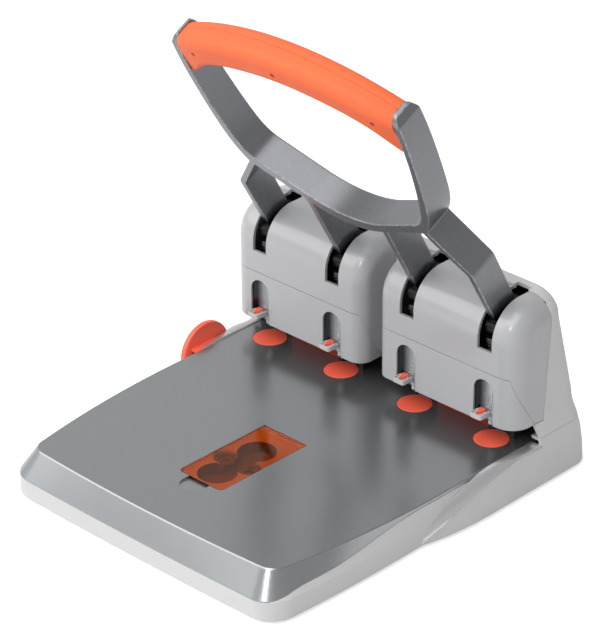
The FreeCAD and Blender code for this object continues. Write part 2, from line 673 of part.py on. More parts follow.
def make_press_frame():
    """Right-hand frame: four cheeks on a back plate, two guide plates and a foot."""
    stations = [x for x in PIN_X if x > 0]
    half_gap = (CHEEK_GAP + CHEEK_T) / 2
    x0 = stations[0] - half_gap - FRAME_END
    x1 = stations[1] + half_gap + FRAME_END
    front = HEAD_FRONT_Y + HEAD_WALL + 2.0
    back = box(x0, x1, CHEEK_BACK_Y - BACK_PLATE_T, CHEEK_BACK_Y, DIE_TOP_Z, PIVOT_Z)
    window = box(stations[0] + 22.0, stations[1] - 22.0, 0, 80, DECK_Z + 20.0, UPPER_GUIDE_Z - 12.0)
    long_edges = [e for e in window.Edges if abs(e.tangentAt(e.FirstParameter).y) > 0.9]
    back = back.cut(window.makeFillet(6.0, long_edges))
    foot = box(x0, x1, TABLE_REAR_Y + SEAM, CHEEK_BACK_Y, DIE_TOP_Z, DIE_TOP_Z + FOOT_FLANGE_T)
    upper = box(x0 + FRAME_END - CHEEK_T, x1 - FRAME_END + CHEEK_T, front, CHEEK_BACK_Y,
                UPPER_GUIDE_Z, UPPER_GUIDE_Z + UPPER_GUIDE_T)
    frame = back.fuse([foot, upper])
    for x in stations:
        frame = frame.fuse([cheek(x - half_gap), cheek(x + half_gap)])
        tongue = box(x - 7.0, x + 7.0, front + 0.5, PAPER_STOP_Y, LOWER_GUIDE_Z,
                     LOWER_GUIDE_Z + LOWER_GUIDE_T)
        root = box(x - half_gap, x + half_gap, PAPER_STOP_Y, CHEEK_BACK_Y, LOWER_GUIDE_Z,
                   LOWER_GUIDE_Z + LOWER_GUIDE_T)
        frame = frame.fuse([tongue, root])
    for x in stations:
        frame = frame.cut(rod_z(PIN_R + FIT_GAP, x, 0, LOWER_GUIDE_Z - 2, LOWER_GUIDE_Z + 8))
        frame = frame.cut(rod_z(PIN_BODY_R + 2.0, x, 0, UPPER_GUIDE_Z - 2, UPPER_GUIDE_Z + 12))
    rod_y_, rod_z_ = stop_rod_place()
    frame = frame.cut(rod_x(SHAFT_R, 0, 200, PIVOT_Y, PIVOT_Z))
    frame = frame.cut(rod_x(STOP_ROD_R, 0, 200, rod_y_, rod_z_))
    for x, y in bolt_places():
        frame = frame.cut(rod_z(BOLT_R + SEAT_GAP, x, y, 0, DIE_TOP_Z + FOOT_FLANGE_T + 2))
    return frame.removeSplitter()


def make_guide_bushes():
    """Flanged sleeves that guide the pins in the upper guide plates."""
    bushes = []
    for x in PIN_X:
        bush = rod_z(PIN_BODY_R + 2.0, x, 0, UPPER_GUIDE_Z, UPPER_GUIDE_Z + UPPER_GUIDE_T)
        flange = rod_z(PIN_BODY_R + 3.5, x, 0, UPPER_GUIDE_Z - 1.5, UPPER_GUIDE_Z)
        hole = rod_z(PIN_BODY_R + FIT_GAP, x, 0, 0, 200)
        bushes.append(bush.fuse(flange).cut(hole).removeSplitter())
    return Part.makeCompound(bushes)


def shaft_ends():
    stations = [x for x in PIN_X if x > 0]
    reach = CHEEK_GAP / 2 + CHEEK_T + 4.0
    return stations[0] - reach, stations[1] + reach


def make_pivot_shaft():
    x0, x1 = shaft_ends()
    shaft = rod_x(SHAFT_R, x0, x1, PIVOT_Y, PIVOT_Z)
    for x in (x0 + 2.4, x1 - 2.4 - 1.2):
        groove = rod_x(SHAFT_R + 1, x, x + 1.2, PIVOT_Y, PIVOT_Z)
        groove = groove.cut(rod_x(SHAFT_R - 1.0, x, x + 1.2, PIVOT_Y, PIVOT_Z))
        shaft = shaft.cut(groove)
    return shaft.makeChamfer(0.6, [shaft.Edges[i] for i in end_circles(shaft, x0, x1)])


def end_circles(shape, x0, x1):
    wanted = []
    for i, edge in enumerate(shape.Edges):
        at_end = min(abs(edge.CenterOfMass.x - x0), abs(edge.CenterOfMass.x - x1)) < 0.01
        if at_end and len(edge.Vertexes) == 1:
            wanted.append(i)
    return wanted


def make_shaft_clips():
    """Open retaining rings in the grooves of the pivot shafts."""
    clips = []
    x0, x1 = shaft_ends()
    for x in (x0 + 2.45, x1 - 2.45 - 1.1):
        ring = rod_x(SHAFT_R + 2.5, x, x + 1.1, PIVOT_Y, PIVOT_Z)
        ring = ring.cut(rod_x(SHAFT_R - 1.0, x, x + 1.1, PIVOT_Y, PIVOT_Z))
        ring = ring.cut(box(x - 1, x + 2, PIVOT_Y - 3.5, PIVOT_Y + 3.5, PIVOT_Z - 20, PIVOT_Z))
        clips += [ring, mirrored(ring)]
    return Part.makeCompound(clips)


def make_stop_rods():
    x0, x1 = shaft_ends()
    y, z = stop_rod_place()
    rod = rod_x(STOP_ROD_R, x0 + 3.0, x1 - 3.0, y, z)
    return Part.makeCompound([rod, mirrored(rod)])


# Punch pins, springs, cartridges and latches ------------------------------------
def make_punch_pin(x):
    """Hollow cutter with a shouldered body, a spring head and a side outlet for chips."""
    tip = rod_z(PIN_R, x, 0, PIN_TIP_Z, PIN_STEP_Z)
    body = rod_z(PIN_BODY_R, x, 0, PIN_STEP_Z, SPRING_TOP_Z)
    head = rod_z(PIN_HEAD_R, x, 0, SPRING_TOP_Z, PIN_TOP_Z)
    rim = [e for e in head.Edges if abs(e.CenterOfMass.z - PIN_TOP_Z) < 0.01 and len(e.Vertexes) == 1]
    pin = tip.fuse([body, head.makeFillet(1.0, rim)])
    bore_top = PIN_STEP_Z + 8.0
    pin = pin.cut(rod_z(PIN_BORE_R, x, 0, PIN_TIP_Z - 1, bore_top))
    pin = pin.cut(box(x - PIN_BORE_R, x + PIN_BORE_R, 0, 10, bore_top - 7.0, bore_top))
    cup = Part.makeCone(PIN_R - 0.15, PIN_BORE_R, 1.6, V(x, 0, PIN_TIP_Z))
    return pin.cut(cup).removeSplitter()


def make_pin_spring(x):
    coil = rod_z(SPRING_R, x, 0, SPRING_BOTTOM_Z, SPRING_TOP_Z)
    return coil.cut(rod_z(SPRING_R - SPRING_WIRE, x, 0, SPRING_BOTTOM_Z, SPRING_TOP_Z))


def arch(x, half, top_z, bottom_z, y0, y1):
    """Block with a round top, as deep as y0 to y1."""
    centre = top_z - half
    return box(x - half, x + half, y0, y1, bottom_z, centre).fuse(rod_y(half, x, y0, y1, centre))


def make_pin_cartridge(x):
    """Clear cover behind the window: a thin arched shell with a gap for the latch tab."""
    front = HEAD_FRONT_Y + 1.4
    half = WINDOW_W / 2 - SEAM
    back = -PIN_BODY_R - SLIDE_GAP - CARTRIDGE_CLEAR
    top = WINDOW_TOP_Z - SEAM
    shell = arch(x, half, top, LOWER_GUIDE_Z, front, back)
    shell = shell.cut(arch(x, half - 1.9, top - 1.9, LOWER_GUIDE_Z - 1, front + 1.9, back + 1))
    low = LOWER_GUIDE_Z + LOWER_GUIDE_T
    gap = box(x - TAB_HALF - SEAM, x + TAB_HALF + SEAM, front - 1, front + 3, low - SEAM,
              low + TAB_T + POINTER_T + 1.5)
    return shell.cut(gap).removeSplitter()


def make_latch_tab(x):
    """Flat tab with round front corners and a fork that straddles the pin."""
    bottom = LOWER_GUIDE_Z + LOWER_GUIDE_T + SLIDE_GAP
    fork_back = 6.0
    tab = box(x - TAB_HALF, x + TAB_HALF, TAB_FRONT_Y, fork_back, bottom, bottom + TAB_T)
    corners = [e for e in tab.Edges
               if abs(e.tangentAt(e.FirstParameter).z) > 0.9 and e.CenterOfMass.y < TAB_FRONT_Y + 1]
    tab = tab.makeFillet(2.0, corners)
    throat = PIN_BODY_R + SEAM
    tab = tab.cut(box(x - throat, x + throat, 0, fork_back + 1, 0, 100))
    return tab.cut(rod_z(throat, x, 0, 0, 100)).removeSplitter()


def make_latch_pointer(x):
    """Drop-shaped thumb piece: round at the back, drawn out to a point in front."""
    bottom = LOWER_GUIDE_Z + LOWER_GUIDE_T + SLIDE_GAP + TAB_T
    centre_y = HEAD_FRONT_Y - 1.0
    tip_y = TAB_FRONT_Y + 1.2
    reach = centre_y - tip_y
    angle = math.acos(POINTER_R / reach)
    touch_x = POINTER_R * math.sin(angle)
    touch_y = centre_y - POINTER_R * math.cos(angle)
    left = V(x - touch_x, touch_y, bottom)
    right = V(x + touch_x, touch_y, bottom)
    edges = [arc(left, V(x, centre_y + POINTER_R, bottom), right)]
    edges += polyline([right, V(x, tip_y, bottom), left])
    return prism(edges, V(0, 0, POINTER_T))


# Heads ---------------------------------------------------------------------------
def head_block(inset, back_extra):
    """Outer form of the right-hand head: round front top, rounded ends."""
    x0 = HEAD_INNER_X + inset
    x1 = HEAD_OUTER_X - inset
    front = HEAD_FRONT_Y + inset
    bottom = HEAD_BOTTOM_Z + inset
    radius = HEAD_TOP_R - inset
    top = PIVOT_Z + radius
    slant = radius * math.sqrt(0.5)
    a = V(x0, front, bottom)
    b = V(x0, front, PIVOT_Z)
    c = V(x0, PIVOT_Y - slant, PIVOT_Z + slant)
    d = V(x0, PIVOT_Y, top)
    e = V(x0, rear_plane_y(top) + back_extra, top)
    f = V(x0, rear_plane_y(bottom) + back_extra, bottom)
    edges = [line(a, b), arc(b, c, d)] + polyline([d, e, f, a])
    block = prism(edges, V(x1 - x0, 0, 0))
    for x, radius in ((x0, HEAD_INNER_R), (x1, HEAD_OUTER_R)):
        rim = [edge for edge in block.Edges if rounds_end(edge, x, front, bottom, top)]
        block = block.makeFillet(radius - inset, rim)
    return block


def rounds_end(edge, x, front, bottom, top):
    """True for the front, curved and top edges of the end face at x."""
    box_ = edge.BoundBox
    if box_.XLength > 0.01 or abs(box_.XMin - x) > 0.01:
        return False
    on_front = abs(box_.YMax - front) < 0.01
    on_top = abs(box_.ZMin - top) < 0.01
    on_curve = box_.YMin < front + 0.01 and box_.ZMax > top - 0.01
    return on_front or on_top or on_curve


def above_head_seam(drop):
    """Everything above the line that parts the upper head cover from the lower one."""
    x = HEAD_INNER_X - 5.0
    z = HEAD_SEAM_Z - drop
    inside = HEAD_FRONT_Y + HEAD_WALL + SEAM
    level = [V(x, -40.0, z), V(x, inside, z)]
    fall = [level[1], V(x, inside + 3.0, z - 11.5), V(x, 7.6, z - 35.5), V(x, 24.0, z - 59.0)]
    edges = [line(*level), spline(fall)]
    edges += polyline([fall[-1], V(x, 60.0, z - 59.0), V(x, 60.0, 220.0), V(x, -40.0, 220.0), level[0]])
    return prism(edges, V(HEAD_OUTER_X - HEAD_INNER_X + 10.0, 0, 0))


def head_shell():
    return head_block(0, -SEAM).cut(head_block(HEAD_WALL, 12.0))


def arm_slots():
    slots = [box(x - SLOT_W / 2, x + SLOT_W / 2, HEAD_FRONT_Y - 5, SLOT_BACK_Y, SLOT_BOTTOM_Z, 200)
             for x in PIN_X]
    return Part.makeCompound(slots)


def cheek_slots():
    """Room for the cheeks where they pass through the underside of a head."""
    half = CHEEK_GAP / 2 + CHEEK_T + SEAM
    return [box(x - half, x + half, PAPER_STOP_Y - SEAM, 60, 0, 80) for x in PIN_X if x > 0]


def head_floor(gap):
    """Underside of a head between its end walls, which belongs to the lower cover."""
    reach = HEAD_WALL + gap
    return box(HEAD_INNER_X + reach, HEAD_OUTER_X - reach, HEAD_FRONT_Y, 60, 0, HEAD_BOTTOM_Z + HEAD_WALL)


def make_head_upper():
    cover = head_shell().common(above_head_seam(0)).cut([arm_slots(), head_floor(0)] + cheek_slots())
    return cover.removeSplitter()


def make_head_lower():
    shell = head_shell()
    cover = shell.cut(above_head_seam(SEAM)).fuse(shell.common(head_floor(SEAM))).cut(cheek_slots())
    for x in PIN_X:
        if x > 0:
            cover = cover.cut(arch(x, WINDOW_W / 2, WINDOW_TOP_Z, 0, HEAD_FRONT_Y - 5, 0))
            cover = cover.cut(box(x - WINDOW_W / 2, x + WINDOW_W / 2, -20, PAPER_STOP_Y, 0, 70))
    return cover.removeSplitter()


# Rear housing ----------------------------------------------------------------------
def plan_outline(z, half, back_y, corner, inset, front_y):
    """Plan outline with a straight front and two rounded corners at the back."""
    radius = corner - inset
    centre_x = half - corner
    centre_y = back_y - corner
    slant = radius * math.sqrt(0.5)
    a = V(half - inset, front_y, z)
    b = V(half - inset, centre_y, z)
    c = V(centre_x + slant, centre_y + slant, z)
    d = V(centre_x, back_y - inset, z)

    def left(p):
        return V(-p.x, p.y, p.z)

    return Part.Wire([line(a, b), arc(b, c, d), line(d, left(d)), arc(left(d), left(c), left(b)),
                      line(left(b), left(a)), line(left(a), a)])


# height above the deck, share of the flare, back edge short of the wide body's, corner radius
FLARE_SECTIONS = ((DECK_SEAM, 1.0, 8.9, 20.0), (2.0, 0.96, 9.5, 20.0), (5.0, 0.75, 10.3, 20.0),
                  (9.0, 0.35, 11.1, 19.5), (14.0, 0.06, 12.1, 19.0), (22.0, 0.0, 13.9, 18.0))
CROWN_ANGLES = (0.0, 22.0, 42.0, 62.0, 90.0)


def housing_form(inset, front_y):
    """Flare on the deck, straight middle and a crown that rounds over at ends and back."""
    flare = []
    for rise, share, short, corner in FLARE_SECTIONS:
        z = DECK_Z + rise - (inset if rise == DECK_SEAM else 0)
        half = HEAD_OUTER_X + share * (WIDE_HALF - HEAD_OUTER_X)
        flare.append(plan_outline(z, half, WIDE_BACK_Y - short, corner, inset, front_y))
    crown = []
    for degrees in CROWN_ANGLES:
        angle = math.radians(degrees)
        z = REAR_TOP_Z - HEAD_OUTER_R + (HEAD_OUTER_R - inset) * math.sin(angle)
        half = HEAD_OUTER_X - HEAD_OUTER_R + (HEAD_OUTER_R - inset) * math.cos(angle)
        back_y = REAR_TOP_BACK_Y + REAR_TOP_R * math.cos(angle) - inset
        crown.append(plan_outline(z, half, back_y, REAR_CORNER - inset, 0, front_y))
    form = Part.makeLoft(flare, True, False)
    form = form.fuse([Part.makeLoft([flare[-1], crown[0]], True, True), Part.makeLoft(crown, True, False)])
    return form.removeSplitter()


def behind_heads(gap):
    """Side-view region behind the heads, with a toe that reaches forward under them."""
    low = DECK_Z - WALL
    under = HEAD_BOTTOM_Z - SEAM
    return side_prism([(toe_y(low), low), (toe_y(under), under), (rear_plane_y(under) + gap, under),
                       (rear_plane_y(200) + gap, 200), (200, 200), (200, low)], -200, 200)


def make_rear_housing():
    outer = housing_form(0, 0.0).common(behind_heads(0))
    inner = housing_form(WALL, -5.0)
    inside = inner.common(behind_heads(WALL))
    toe_space = inner.common(box(HEAD_OUTER_X - 7.0, 200, -10, 60, 0, HEAD_BOTTOM_Z - SEAM))
    housing = outer.cut([inside, toe_space, mirrored(toe_space)])
    opening_top = PIVOT_Z + HEAD_TOP_R - HEAD_WALL
    for side in (-1, 1):
        x0, x1 = sorted((side * (HEAD_INNER_X + 4.0), side * (HEAD_OUTER_X - 7.0)))
        housing = housing.cut(box(x0, x1, 0, rear_plane_y(opening_top) + WALL + 1.0,
                                  0, opening_top))
    return housing.cut(arm_slots()).removeSplitter()


# Lever ---------------------------------------------------------------------------------
def stand_on_pivot(shape):
    """Turns a part drawn upright about the origin into its place on the pivot."""
    placed = shape.copy()
    placed.rotate(V(0, 0, 0), X_AXIS, LEAN)
    placed.translate(PIVOT)
    return placed


# outward from the grip's half width, height above the pivot
OUTER_LEG = ((-16.5, 116.9), (-8.0, 133.0), (-1.7, 158.0), (3.1, 190.0), (6.5, 222.0), (CAP_SLOPE, 243.0))
INNER_LEG = ((-29.5, 120.6), (-19.0, 129.0), (-11.3, 147.0), (-4.9, 175.0), (-0.1, 208.0), (0.9, 233.0))
BAR_END_X = 36.0           # the lower bar of the ring is bowed between these points


def leg_curves():
    """Inner and outer line of the right leg in front view, from the bottom up."""
    outer = [V(GRIP_HALF + x, 0, z) for x, z in OUTER_LEG]
    inner = [V(GRIP_HALF + x, 0, z) for x, z in INNER_LEG]
    return outer, inner


def ring_outlines():
    """Closed outer and inner outline of the ring, in front view."""
    outer, inner = leg_curves()

    def left(p):
        return V(-p.x, p.y, p.z)

    bar_low = V(BAR_END_X, 0, 91.0)
    bar_low_middle = V(0, 0, 83.1)
    cap = V(GRIP_HALF + 0.47 * CAP_SLOPE, 0, CAP_TOP - 1.6)
    cap_inner = V(GRIP_HALF, 0, CAP_TOP)
    core_r = GRIP_R - CORE_INSET
    top_middle = V(0, 0, GRIP_CENTRE + core_r)
    core_end = V(GRIP_HALF, 0, GRIP_CENTRE + math.sqrt(core_r ** 2 - GRIP_HALF ** 2))
    outside = [
        arc(left(bar_low), bar_low_middle, bar_low), line(bar_low, outer[0]), spline(outer),
        line(outer[-1], cap), line(cap, cap_inner), line(cap_inner, core_end),
        arc(core_end, top_middle, left(core_end)), line(left(core_end), left(cap_inner)),
        line(left(cap_inner), left(cap)), line(left(cap), left(outer[-1])),
        spline([left(p) for p in reversed(outer)]), line(left(outer[0]), left(bar_low)),
    ]
    bar_up = V(BAR_END_X, 0, 99.6)
    bar_up_middle = V(0, 0, 92.6)
    low_middle = V(0, 0, GRIP_CENTRE + core_r - CORE_T)
    low_end = V(GRIP_HALF, 0, GRIP_CENTRE + math.sqrt((core_r - CORE_T) ** 2 - GRIP_HALF ** 2))
    inside = [
        arc(left(bar_up), bar_up_middle, bar_up), line(bar_up, inner[0]), spline(inner),
        line(inner[-1], low_end), arc(low_end, low_middle, left(low_end)),
        line(left(low_end), left(inner[-1])),
        spline([left(p) for p in reversed(inner)]), line(left(inner[0]), left(bar_up)),
    ]
    return Part.Wire(outside), Part.Wire(inside)


def casting_depth():
    """Side view of the casting: straight back, front edge with a slight bulge, round top."""
    low = -PAD_R - 20.0
    reach = 2 * GRIP_HALF
    back = LEVER_BACK
    turn = CAP_TOP - CAP_ROUND
    slant = CAP_ROUND * (1 - math.sqrt(0.5))
    start = V(-reach, -LEVER_FRONT, low)
    bulge_low = V(-reach, -LEVER_FRONT, 8.0)
    bulge = V(-reach, -LEVER_FRONT - LEVER_BULGE, turn / 2)
    front_turn = V(-reach, -LEVER_FRONT, turn)
    front_corner = V(-reach, -LEVER_FRONT + slant, CAP_TOP - slant)
    front_top = V(-reach, -LEVER_FRONT + CAP_ROUND, CAP_TOP)
    back_top = V(-reach, back - CAP_ROUND, CAP_TOP)
    back_corner = V(-reach, back - slant, CAP_TOP - slant)
    back_turn = V(-reach, back, turn)
    edges = [line(start, bulge_low), arc(bulge_low, bulge, front_turn)]
    edges += [arc(front_turn, front_corner, front_top), line(front_top, back_top)]
    edges += [arc(back_top, back_corner, back_turn)]
    edges += polyline([back_turn, V(-reach, back, low), start])
    return prism(edges, V(2 * reach, 0, 0))


def lever_ring():
    """The ring: two legs and a lower bar, and a slim core inside the grip."""
    outside, inside = ring_outlines()
    depth = V(0, 4 * LEVER_BACK, 0)
    ring = Part.Face(outside).extrude(depth).cut(Part.Face(inside).extrude(depth))
    ring = moved(ring, 0, -2 * LEVER_BACK)
    middle = (LEVER_BACK - LEVER_FRONT) / 2
    inside_grip = box(-GRIP_HALF, GRIP_HALF, -60, 60, INNER_LEG[-1][1], CAP_TOP + 40.0)
    core_depth = box(-GRIP_HALF - 1.0, GRIP_HALF + 1.0, middle - CORE_DEPTH / 2, middle + CORE_DEPTH / 2,
                     INNER_LEG[-1][1], CAP_TOP + 40.0)
    legs = ring.common(casting_depth()).cut(inside_grip)
    return legs.fuse(ring.common(core_depth)).removeSplitter()


def arm_outline(x, low, knee, end):
    """Edges of a flat bar in front view, with a mitred and rounded knee where it bends in."""
    half = ARM_T / 2
    side = 1 if x > 0 else -1
    run = abs(x) - end[0]
    rise = end[1] - knee
    length = math.hypot(run, rise)
    across_x = rise / length * half
    across_z = run / length * half
    mitre = half * math.tan(math.atan2(run, rise) / 2)
    outer = [(abs(x) + half, low), (abs(x) + half, knee + mitre), (end[0] + across_x, end[1] + across_z)]
    inner = [(end[0] - across_x, end[1] - across_z), (abs(x) - half, knee - mitre), (abs(x) - half, low)]
    return [V(side * px, 0, pz) for px, pz in outer + inner]


def arm_bar(x):
    """Outer arms bend in to the corners of the ring, inner arms run straight up."""
    deep = V(0, 4 * LEVER_BACK, 0)
    if abs(x) < PITCH:
        bar = box(x - ARM_T / 2, x + ARM_T / 2, 0, deep.y, 6.0, 96.0)
        return moved(bar, 0, -2 * LEVER_BACK)
    corners = arm_outline(x, 6.0, 78.0, (GRIP_HALF - 21.2, 118.7))
    bar = prism(polyline(corners + corners[:1]), deep)
    for corner, radius in ((corners[1], ARM_BEND + ARM_T), (corners[4], ARM_BEND)):
        knee = [e for e in bar.Edges if abs(e.CenterOfMass.x - corner.x) < 0.01
                and abs(e.CenterOfMass.z - corner.z) < 0.01]
        bar = bar.makeFillet(radius, knee)
    return moved(bar, 0, -2 * LEVER_BACK)


def arm_end(x):
    """Round eye on the pivot and a nose that holds the thrust pad, drawn at rest."""
    boss = rod_x(ARM_BOSS_R, x - CHEEK_GAP / 2 + SLIDE_GAP, x + CHEEK_GAP / 2 - SLIDE_GAP,
                 PIVOT_Y, PIVOT_Z)
    nose = rod_x(PAD_R + 2.7, x - PAD_R, x + PAD_R, PAD_Y, PAD_Z)
    middle_z = PAD_Z + 7.0
    neck = side_prism([(PAD_Y, PAD_Z), (PIVOT_Y, PIVOT_Z), (PIVOT_Y + 2.0, PIVOT_Z + 9.0),
                       (PAD_Y + 4.0, middle_z)], x - PAD_R, x + PAD_R)
    end = nose.fuse(neck)
    below = box(x - 20, x + 20, -60, 60, -60, 0)
    below.rotate(V(0, 0, 0), X_AXIS, -TRAVEL / 2)
    below.translate(PIVOT)
    return end.cut(below).fuse(boss)


def make_lever_frame():
    frame = lever_ring()
    for x in PIN_X:
        frame = frame.fuse(arm_bar(x).common(casting_depth()))
    frame = stand_on_pivot(frame.removeSplitter())
    for x in PIN_X:
        frame = frame.fuse(arm_end(x))
    for x in PIN_X:
        frame = frame.cut(rod_x(BUSH_R, x - 12, x + 12, PIVOT_Y, PIVOT_Z))
        frame = frame.cut(rod_x(PAD_R + FIT_GAP, x - 12, x + 12, PAD_Y, PAD_Z))
    return frame.removeSplitter()


def make_arm_bushes():
    bushes = []
    for x in PIN_X:
        half = CHEEK_GAP / 2 - SLIDE_GAP
        bush = rod_x(BUSH_R, x - half, x + half, PIVOT_Y, PIVOT_Z)
        bushes.append(bush.cut(rod_x(SHAFT_R + FIT_GAP, x - half, x + half, PIVOT_Y, PIVOT_Z)))
    return Part.makeCompound(bushes)


def make_thrust_pads():
    return Part.makeCompound([rod_x(PAD_R, x - PAD_R, x + PAD_R, PAD_Y, PAD_Z) for x in PIN_X])


# share of the way to the leg, height more than at the middle, front face behind the middle's,
# radius of the lower corners
GRIP_STATIONS = ((0.0, 0.0, 0.0, 10.0), (0.41, 0.2, 0.1, 9.8), (0.745, 0.6, 0.7, 9.0), (0.9, 1.8, 1.5, 7.0),
                 (1.03, 5.0, 3.2, 4.0), (1.2, 4.6, 4.8, 3.0))


def rounded_section(front_y, back_y, low_z, top_z, low_r):
    """Rectangle in the plane x = 0, with its upper and lower corners rounded."""
    high_r = GRIP_TOP_ROUND
    low_in = low_r * (1 - math.sqrt(0.5))
    high_in = high_r * (1 - math.sqrt(0.5))
    low_front = V(0, front_y + low_r, low_z)
    low_back = V(0, back_y - low_r, low_z)
    back_low = V(0, back_y, low_z + low_r)
    back_high = V(0, back_y, top_z - high_r)
    high_back = V(0, back_y - high_r, top_z)
    high_front = V(0, front_y + high_r, top_z)
    front_high = V(0, front_y, top_z - high_r)
    front_low = V(0, front_y, low_z + low_r)
    return Part.Wire([
        line(low_front, low_back), arc(low_back, V(0, back_y - low_in, low_z + low_in), back_low),
        line(back_low, back_high), arc(back_high, V(0, back_y - high_in, top_z - high_in), high_back),
        line(high_back, high_front), arc(high_front, V(0, front_y + high_in, top_z - high_in), front_high),
        line(front_high, front_low), arc(front_low, V(0, front_y + low_in, low_z + low_in), low_front),
    ])


def grip_section(share, more, behind, low_r):
    """Section of the grip at a share of the way to the right leg."""
    rim = GRIP_RIM * min(1.0, abs(share)) ** 2
    section = rounded_section(behind - GRIP_FRONT, LEVER_BACK - GRIP_RIM, GRIP_TOP - GRIP_HEIGHT - more,
                              GRIP_TOP - rim, low_r)
    section.rotate(V(0, 0, GRIP_CENTRE), V(0, 1, 0), share * GRIP_SWING)
    return section


def between_legs():
    """The space between the two legs, up to well above the grip."""
    inner = leg_curves()[1]
    top = V(GRIP_HALF, 0, CAP_TOP)
    high = V(GRIP_HALF, 0, CAP_TOP + 60.0)

    def left(p):
        return V(-p.x, p.y, p.z)

    edges = [spline(inner)] + polyline([inner[-1], top, high, left(high), left(top), left(inner[-1])])
    edges += [spline([left(p) for p in reversed(inner)]), line(left(inner[0]), inner[0])]
    return moved(prism(edges, V(0, 120, 0)), 0, -60)


def grip_form():
    """Sections along the grip's arc, ended by the inner faces of the legs."""
    stations = [(-share, more, behind, low_r) for share, more, behind, low_r in reversed(GRIP_STATIONS[1:])]
    stations += GRIP_STATIONS
    form = Part.makeLoft([grip_section(*station) for station in stations], True, False)
    return form.common(between_legs())


def make_grip_half(front):
    form = stand_on_pivot(grip_form()).cut(make_lever_frame_for_grip())
    if front:
        keep = box(-200, 200, -80, GRIP_PARTING - SEAT_GAP / 2, -50, 400)
    else:
        keep = box(-200, 200, GRIP_PARTING + SEAT_GAP / 2, 80, -50, 400)
    half = form.common(stand_on_pivot(keep))
    for x in GRIP_SCREW_X:
        half = half.cut(screw_hole(x))
    return half.removeSplitter()


LEVER_CACHE = {}


def make_lever_frame_for_grip():
    if "frame" not in LEVER_CACHE:
        LEVER_CACHE["frame"] = make_lever_frame()
    return LEVER_CACHE["frame"]


def screw_height(x):
    return GRIP_CENTRE + math.sqrt((GRIP_R - GRIP_SCREW_DROP) ** 2 - x ** 2)


def screw_hole(x):
    z = screw_height(x)
    recess = rod_y(GRIP_SCREW_HEAD_R + 0.1, x, -2 * GRIP_FRONT, -LEVER_FRONT + 1.0, z)
    shank = rod_y(GRIP_SCREW_SHANK_R + FIT_GAP, x, -GRIP_FRONT, 8.0, z)
    return stand_on_pivot(recess.fuse(shank))


def make_grip_screws():
    screws = []
    for x in GRIP_SCREW_X:
        z = screw_height(x)
        head = rod_y(GRIP_SCREW_HEAD_R, x, -LEVER_FRONT - 1.2, -LEVER_FRONT + 1.0, z)
        shank = rod_y(GRIP_SCREW_SHANK_R, x, -LEVER_FRONT + 1.0, 7.5, z)
        screws.append(stand_on_pivot(head.fuse(shank).removeSplitter()))
    return Part.makeCompound(screws)


# Export ----------------------------------------------------------------------------------
def save(name, shape):
    shape.exportStep(os.path.join("parts", name + ".step"))


def main():
    os.makedirs("parts", exist_ok=True)
    save("base_tray", make_base_tray())
    save("bottom_cover", make_bottom_cover())
    save("rubber_strips", make_rubber_strips())
    save("table_cover", make_table_cover())
    save("storage_tray", make_storage_tray())
    save("storage_lid", make_storage_lid())
    save("side_stop", make_side_stop())
    save("die_plate", make_die_plate())
    save("frame_bolts", make_frame_bolts())
    save("paper_stops", make_paper_stops())
    right = {
        "press_frame": make_press_frame(),
        "pivot_shaft": make_pivot_shaft(),
        "head_upper_cover": make_head_upper(),
        "head_lower_cover": make_head_lower(),
    }
    for name, shape in right.items():
        save(name + "_right", shape)
        save(name + "_left", mirrored(shape))
    save("shaft_clips", make_shaft_clips())
    save("stop_rods", make_stop_rods())
    save("guide_bushes", make_guide_bushes())
    save("rear_housing", make_rear_housing())
    for number, x in enumerate(PIN_X, start=1):
        save("cutting_disc_%d" % number, make_cutting_disc(x))
        save("punch_pin_%d" % number, make_punch_pin(x))
        save("pin_spring_%d" % number, make_pin_spring(x))
        save("pin_cartridge_%d" % number, make_pin_cartridge(x))
        save("latch_tab_%d" % number, make_latch_tab(x))
        save("latch_pointer_%d" % number, make_latch_pointer(x))
    save("lever_frame", make_lever_frame_for_grip())
    save("arm_bushes", make_arm_bushes())
    save("thrust_pads", make_thrust_pads())
    save("grip_front", make_grip_half(True))
    save("grip_rear", make_grip_half(False))
    save("grip_screws", make_grip_screws())


main()
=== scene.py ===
import math

import bpy
from mathutils import Matrix, Vector
from mathutils.bvhtree import BVHTree


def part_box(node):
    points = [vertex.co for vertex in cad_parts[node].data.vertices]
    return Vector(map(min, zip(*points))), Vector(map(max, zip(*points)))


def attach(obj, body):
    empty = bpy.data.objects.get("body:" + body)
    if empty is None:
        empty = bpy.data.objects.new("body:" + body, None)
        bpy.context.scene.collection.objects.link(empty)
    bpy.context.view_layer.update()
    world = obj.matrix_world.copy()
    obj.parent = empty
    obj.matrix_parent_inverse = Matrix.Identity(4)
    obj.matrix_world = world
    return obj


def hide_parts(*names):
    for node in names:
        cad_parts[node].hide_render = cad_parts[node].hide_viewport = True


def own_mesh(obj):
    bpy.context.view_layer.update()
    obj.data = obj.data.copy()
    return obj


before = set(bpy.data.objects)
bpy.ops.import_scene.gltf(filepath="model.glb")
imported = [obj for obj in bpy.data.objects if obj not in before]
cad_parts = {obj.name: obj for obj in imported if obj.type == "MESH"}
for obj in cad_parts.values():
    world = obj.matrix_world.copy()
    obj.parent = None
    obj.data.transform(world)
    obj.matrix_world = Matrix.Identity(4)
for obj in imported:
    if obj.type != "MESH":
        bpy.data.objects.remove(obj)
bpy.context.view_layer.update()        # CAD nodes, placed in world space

bl_info = {
    "name": "Lever hole punch",
    "version": (1, 0, 0),
    "blender": (4, 5, 0),
    "location": "View3D > Sidebar > Punch",
    "description": "Finishes, small fittings and studio for a four-pin lever hole punch",
    "category": "Add Mesh",
}

STATIONS = (1, 2, 3, 4)
STATION_PITCH = 0.08
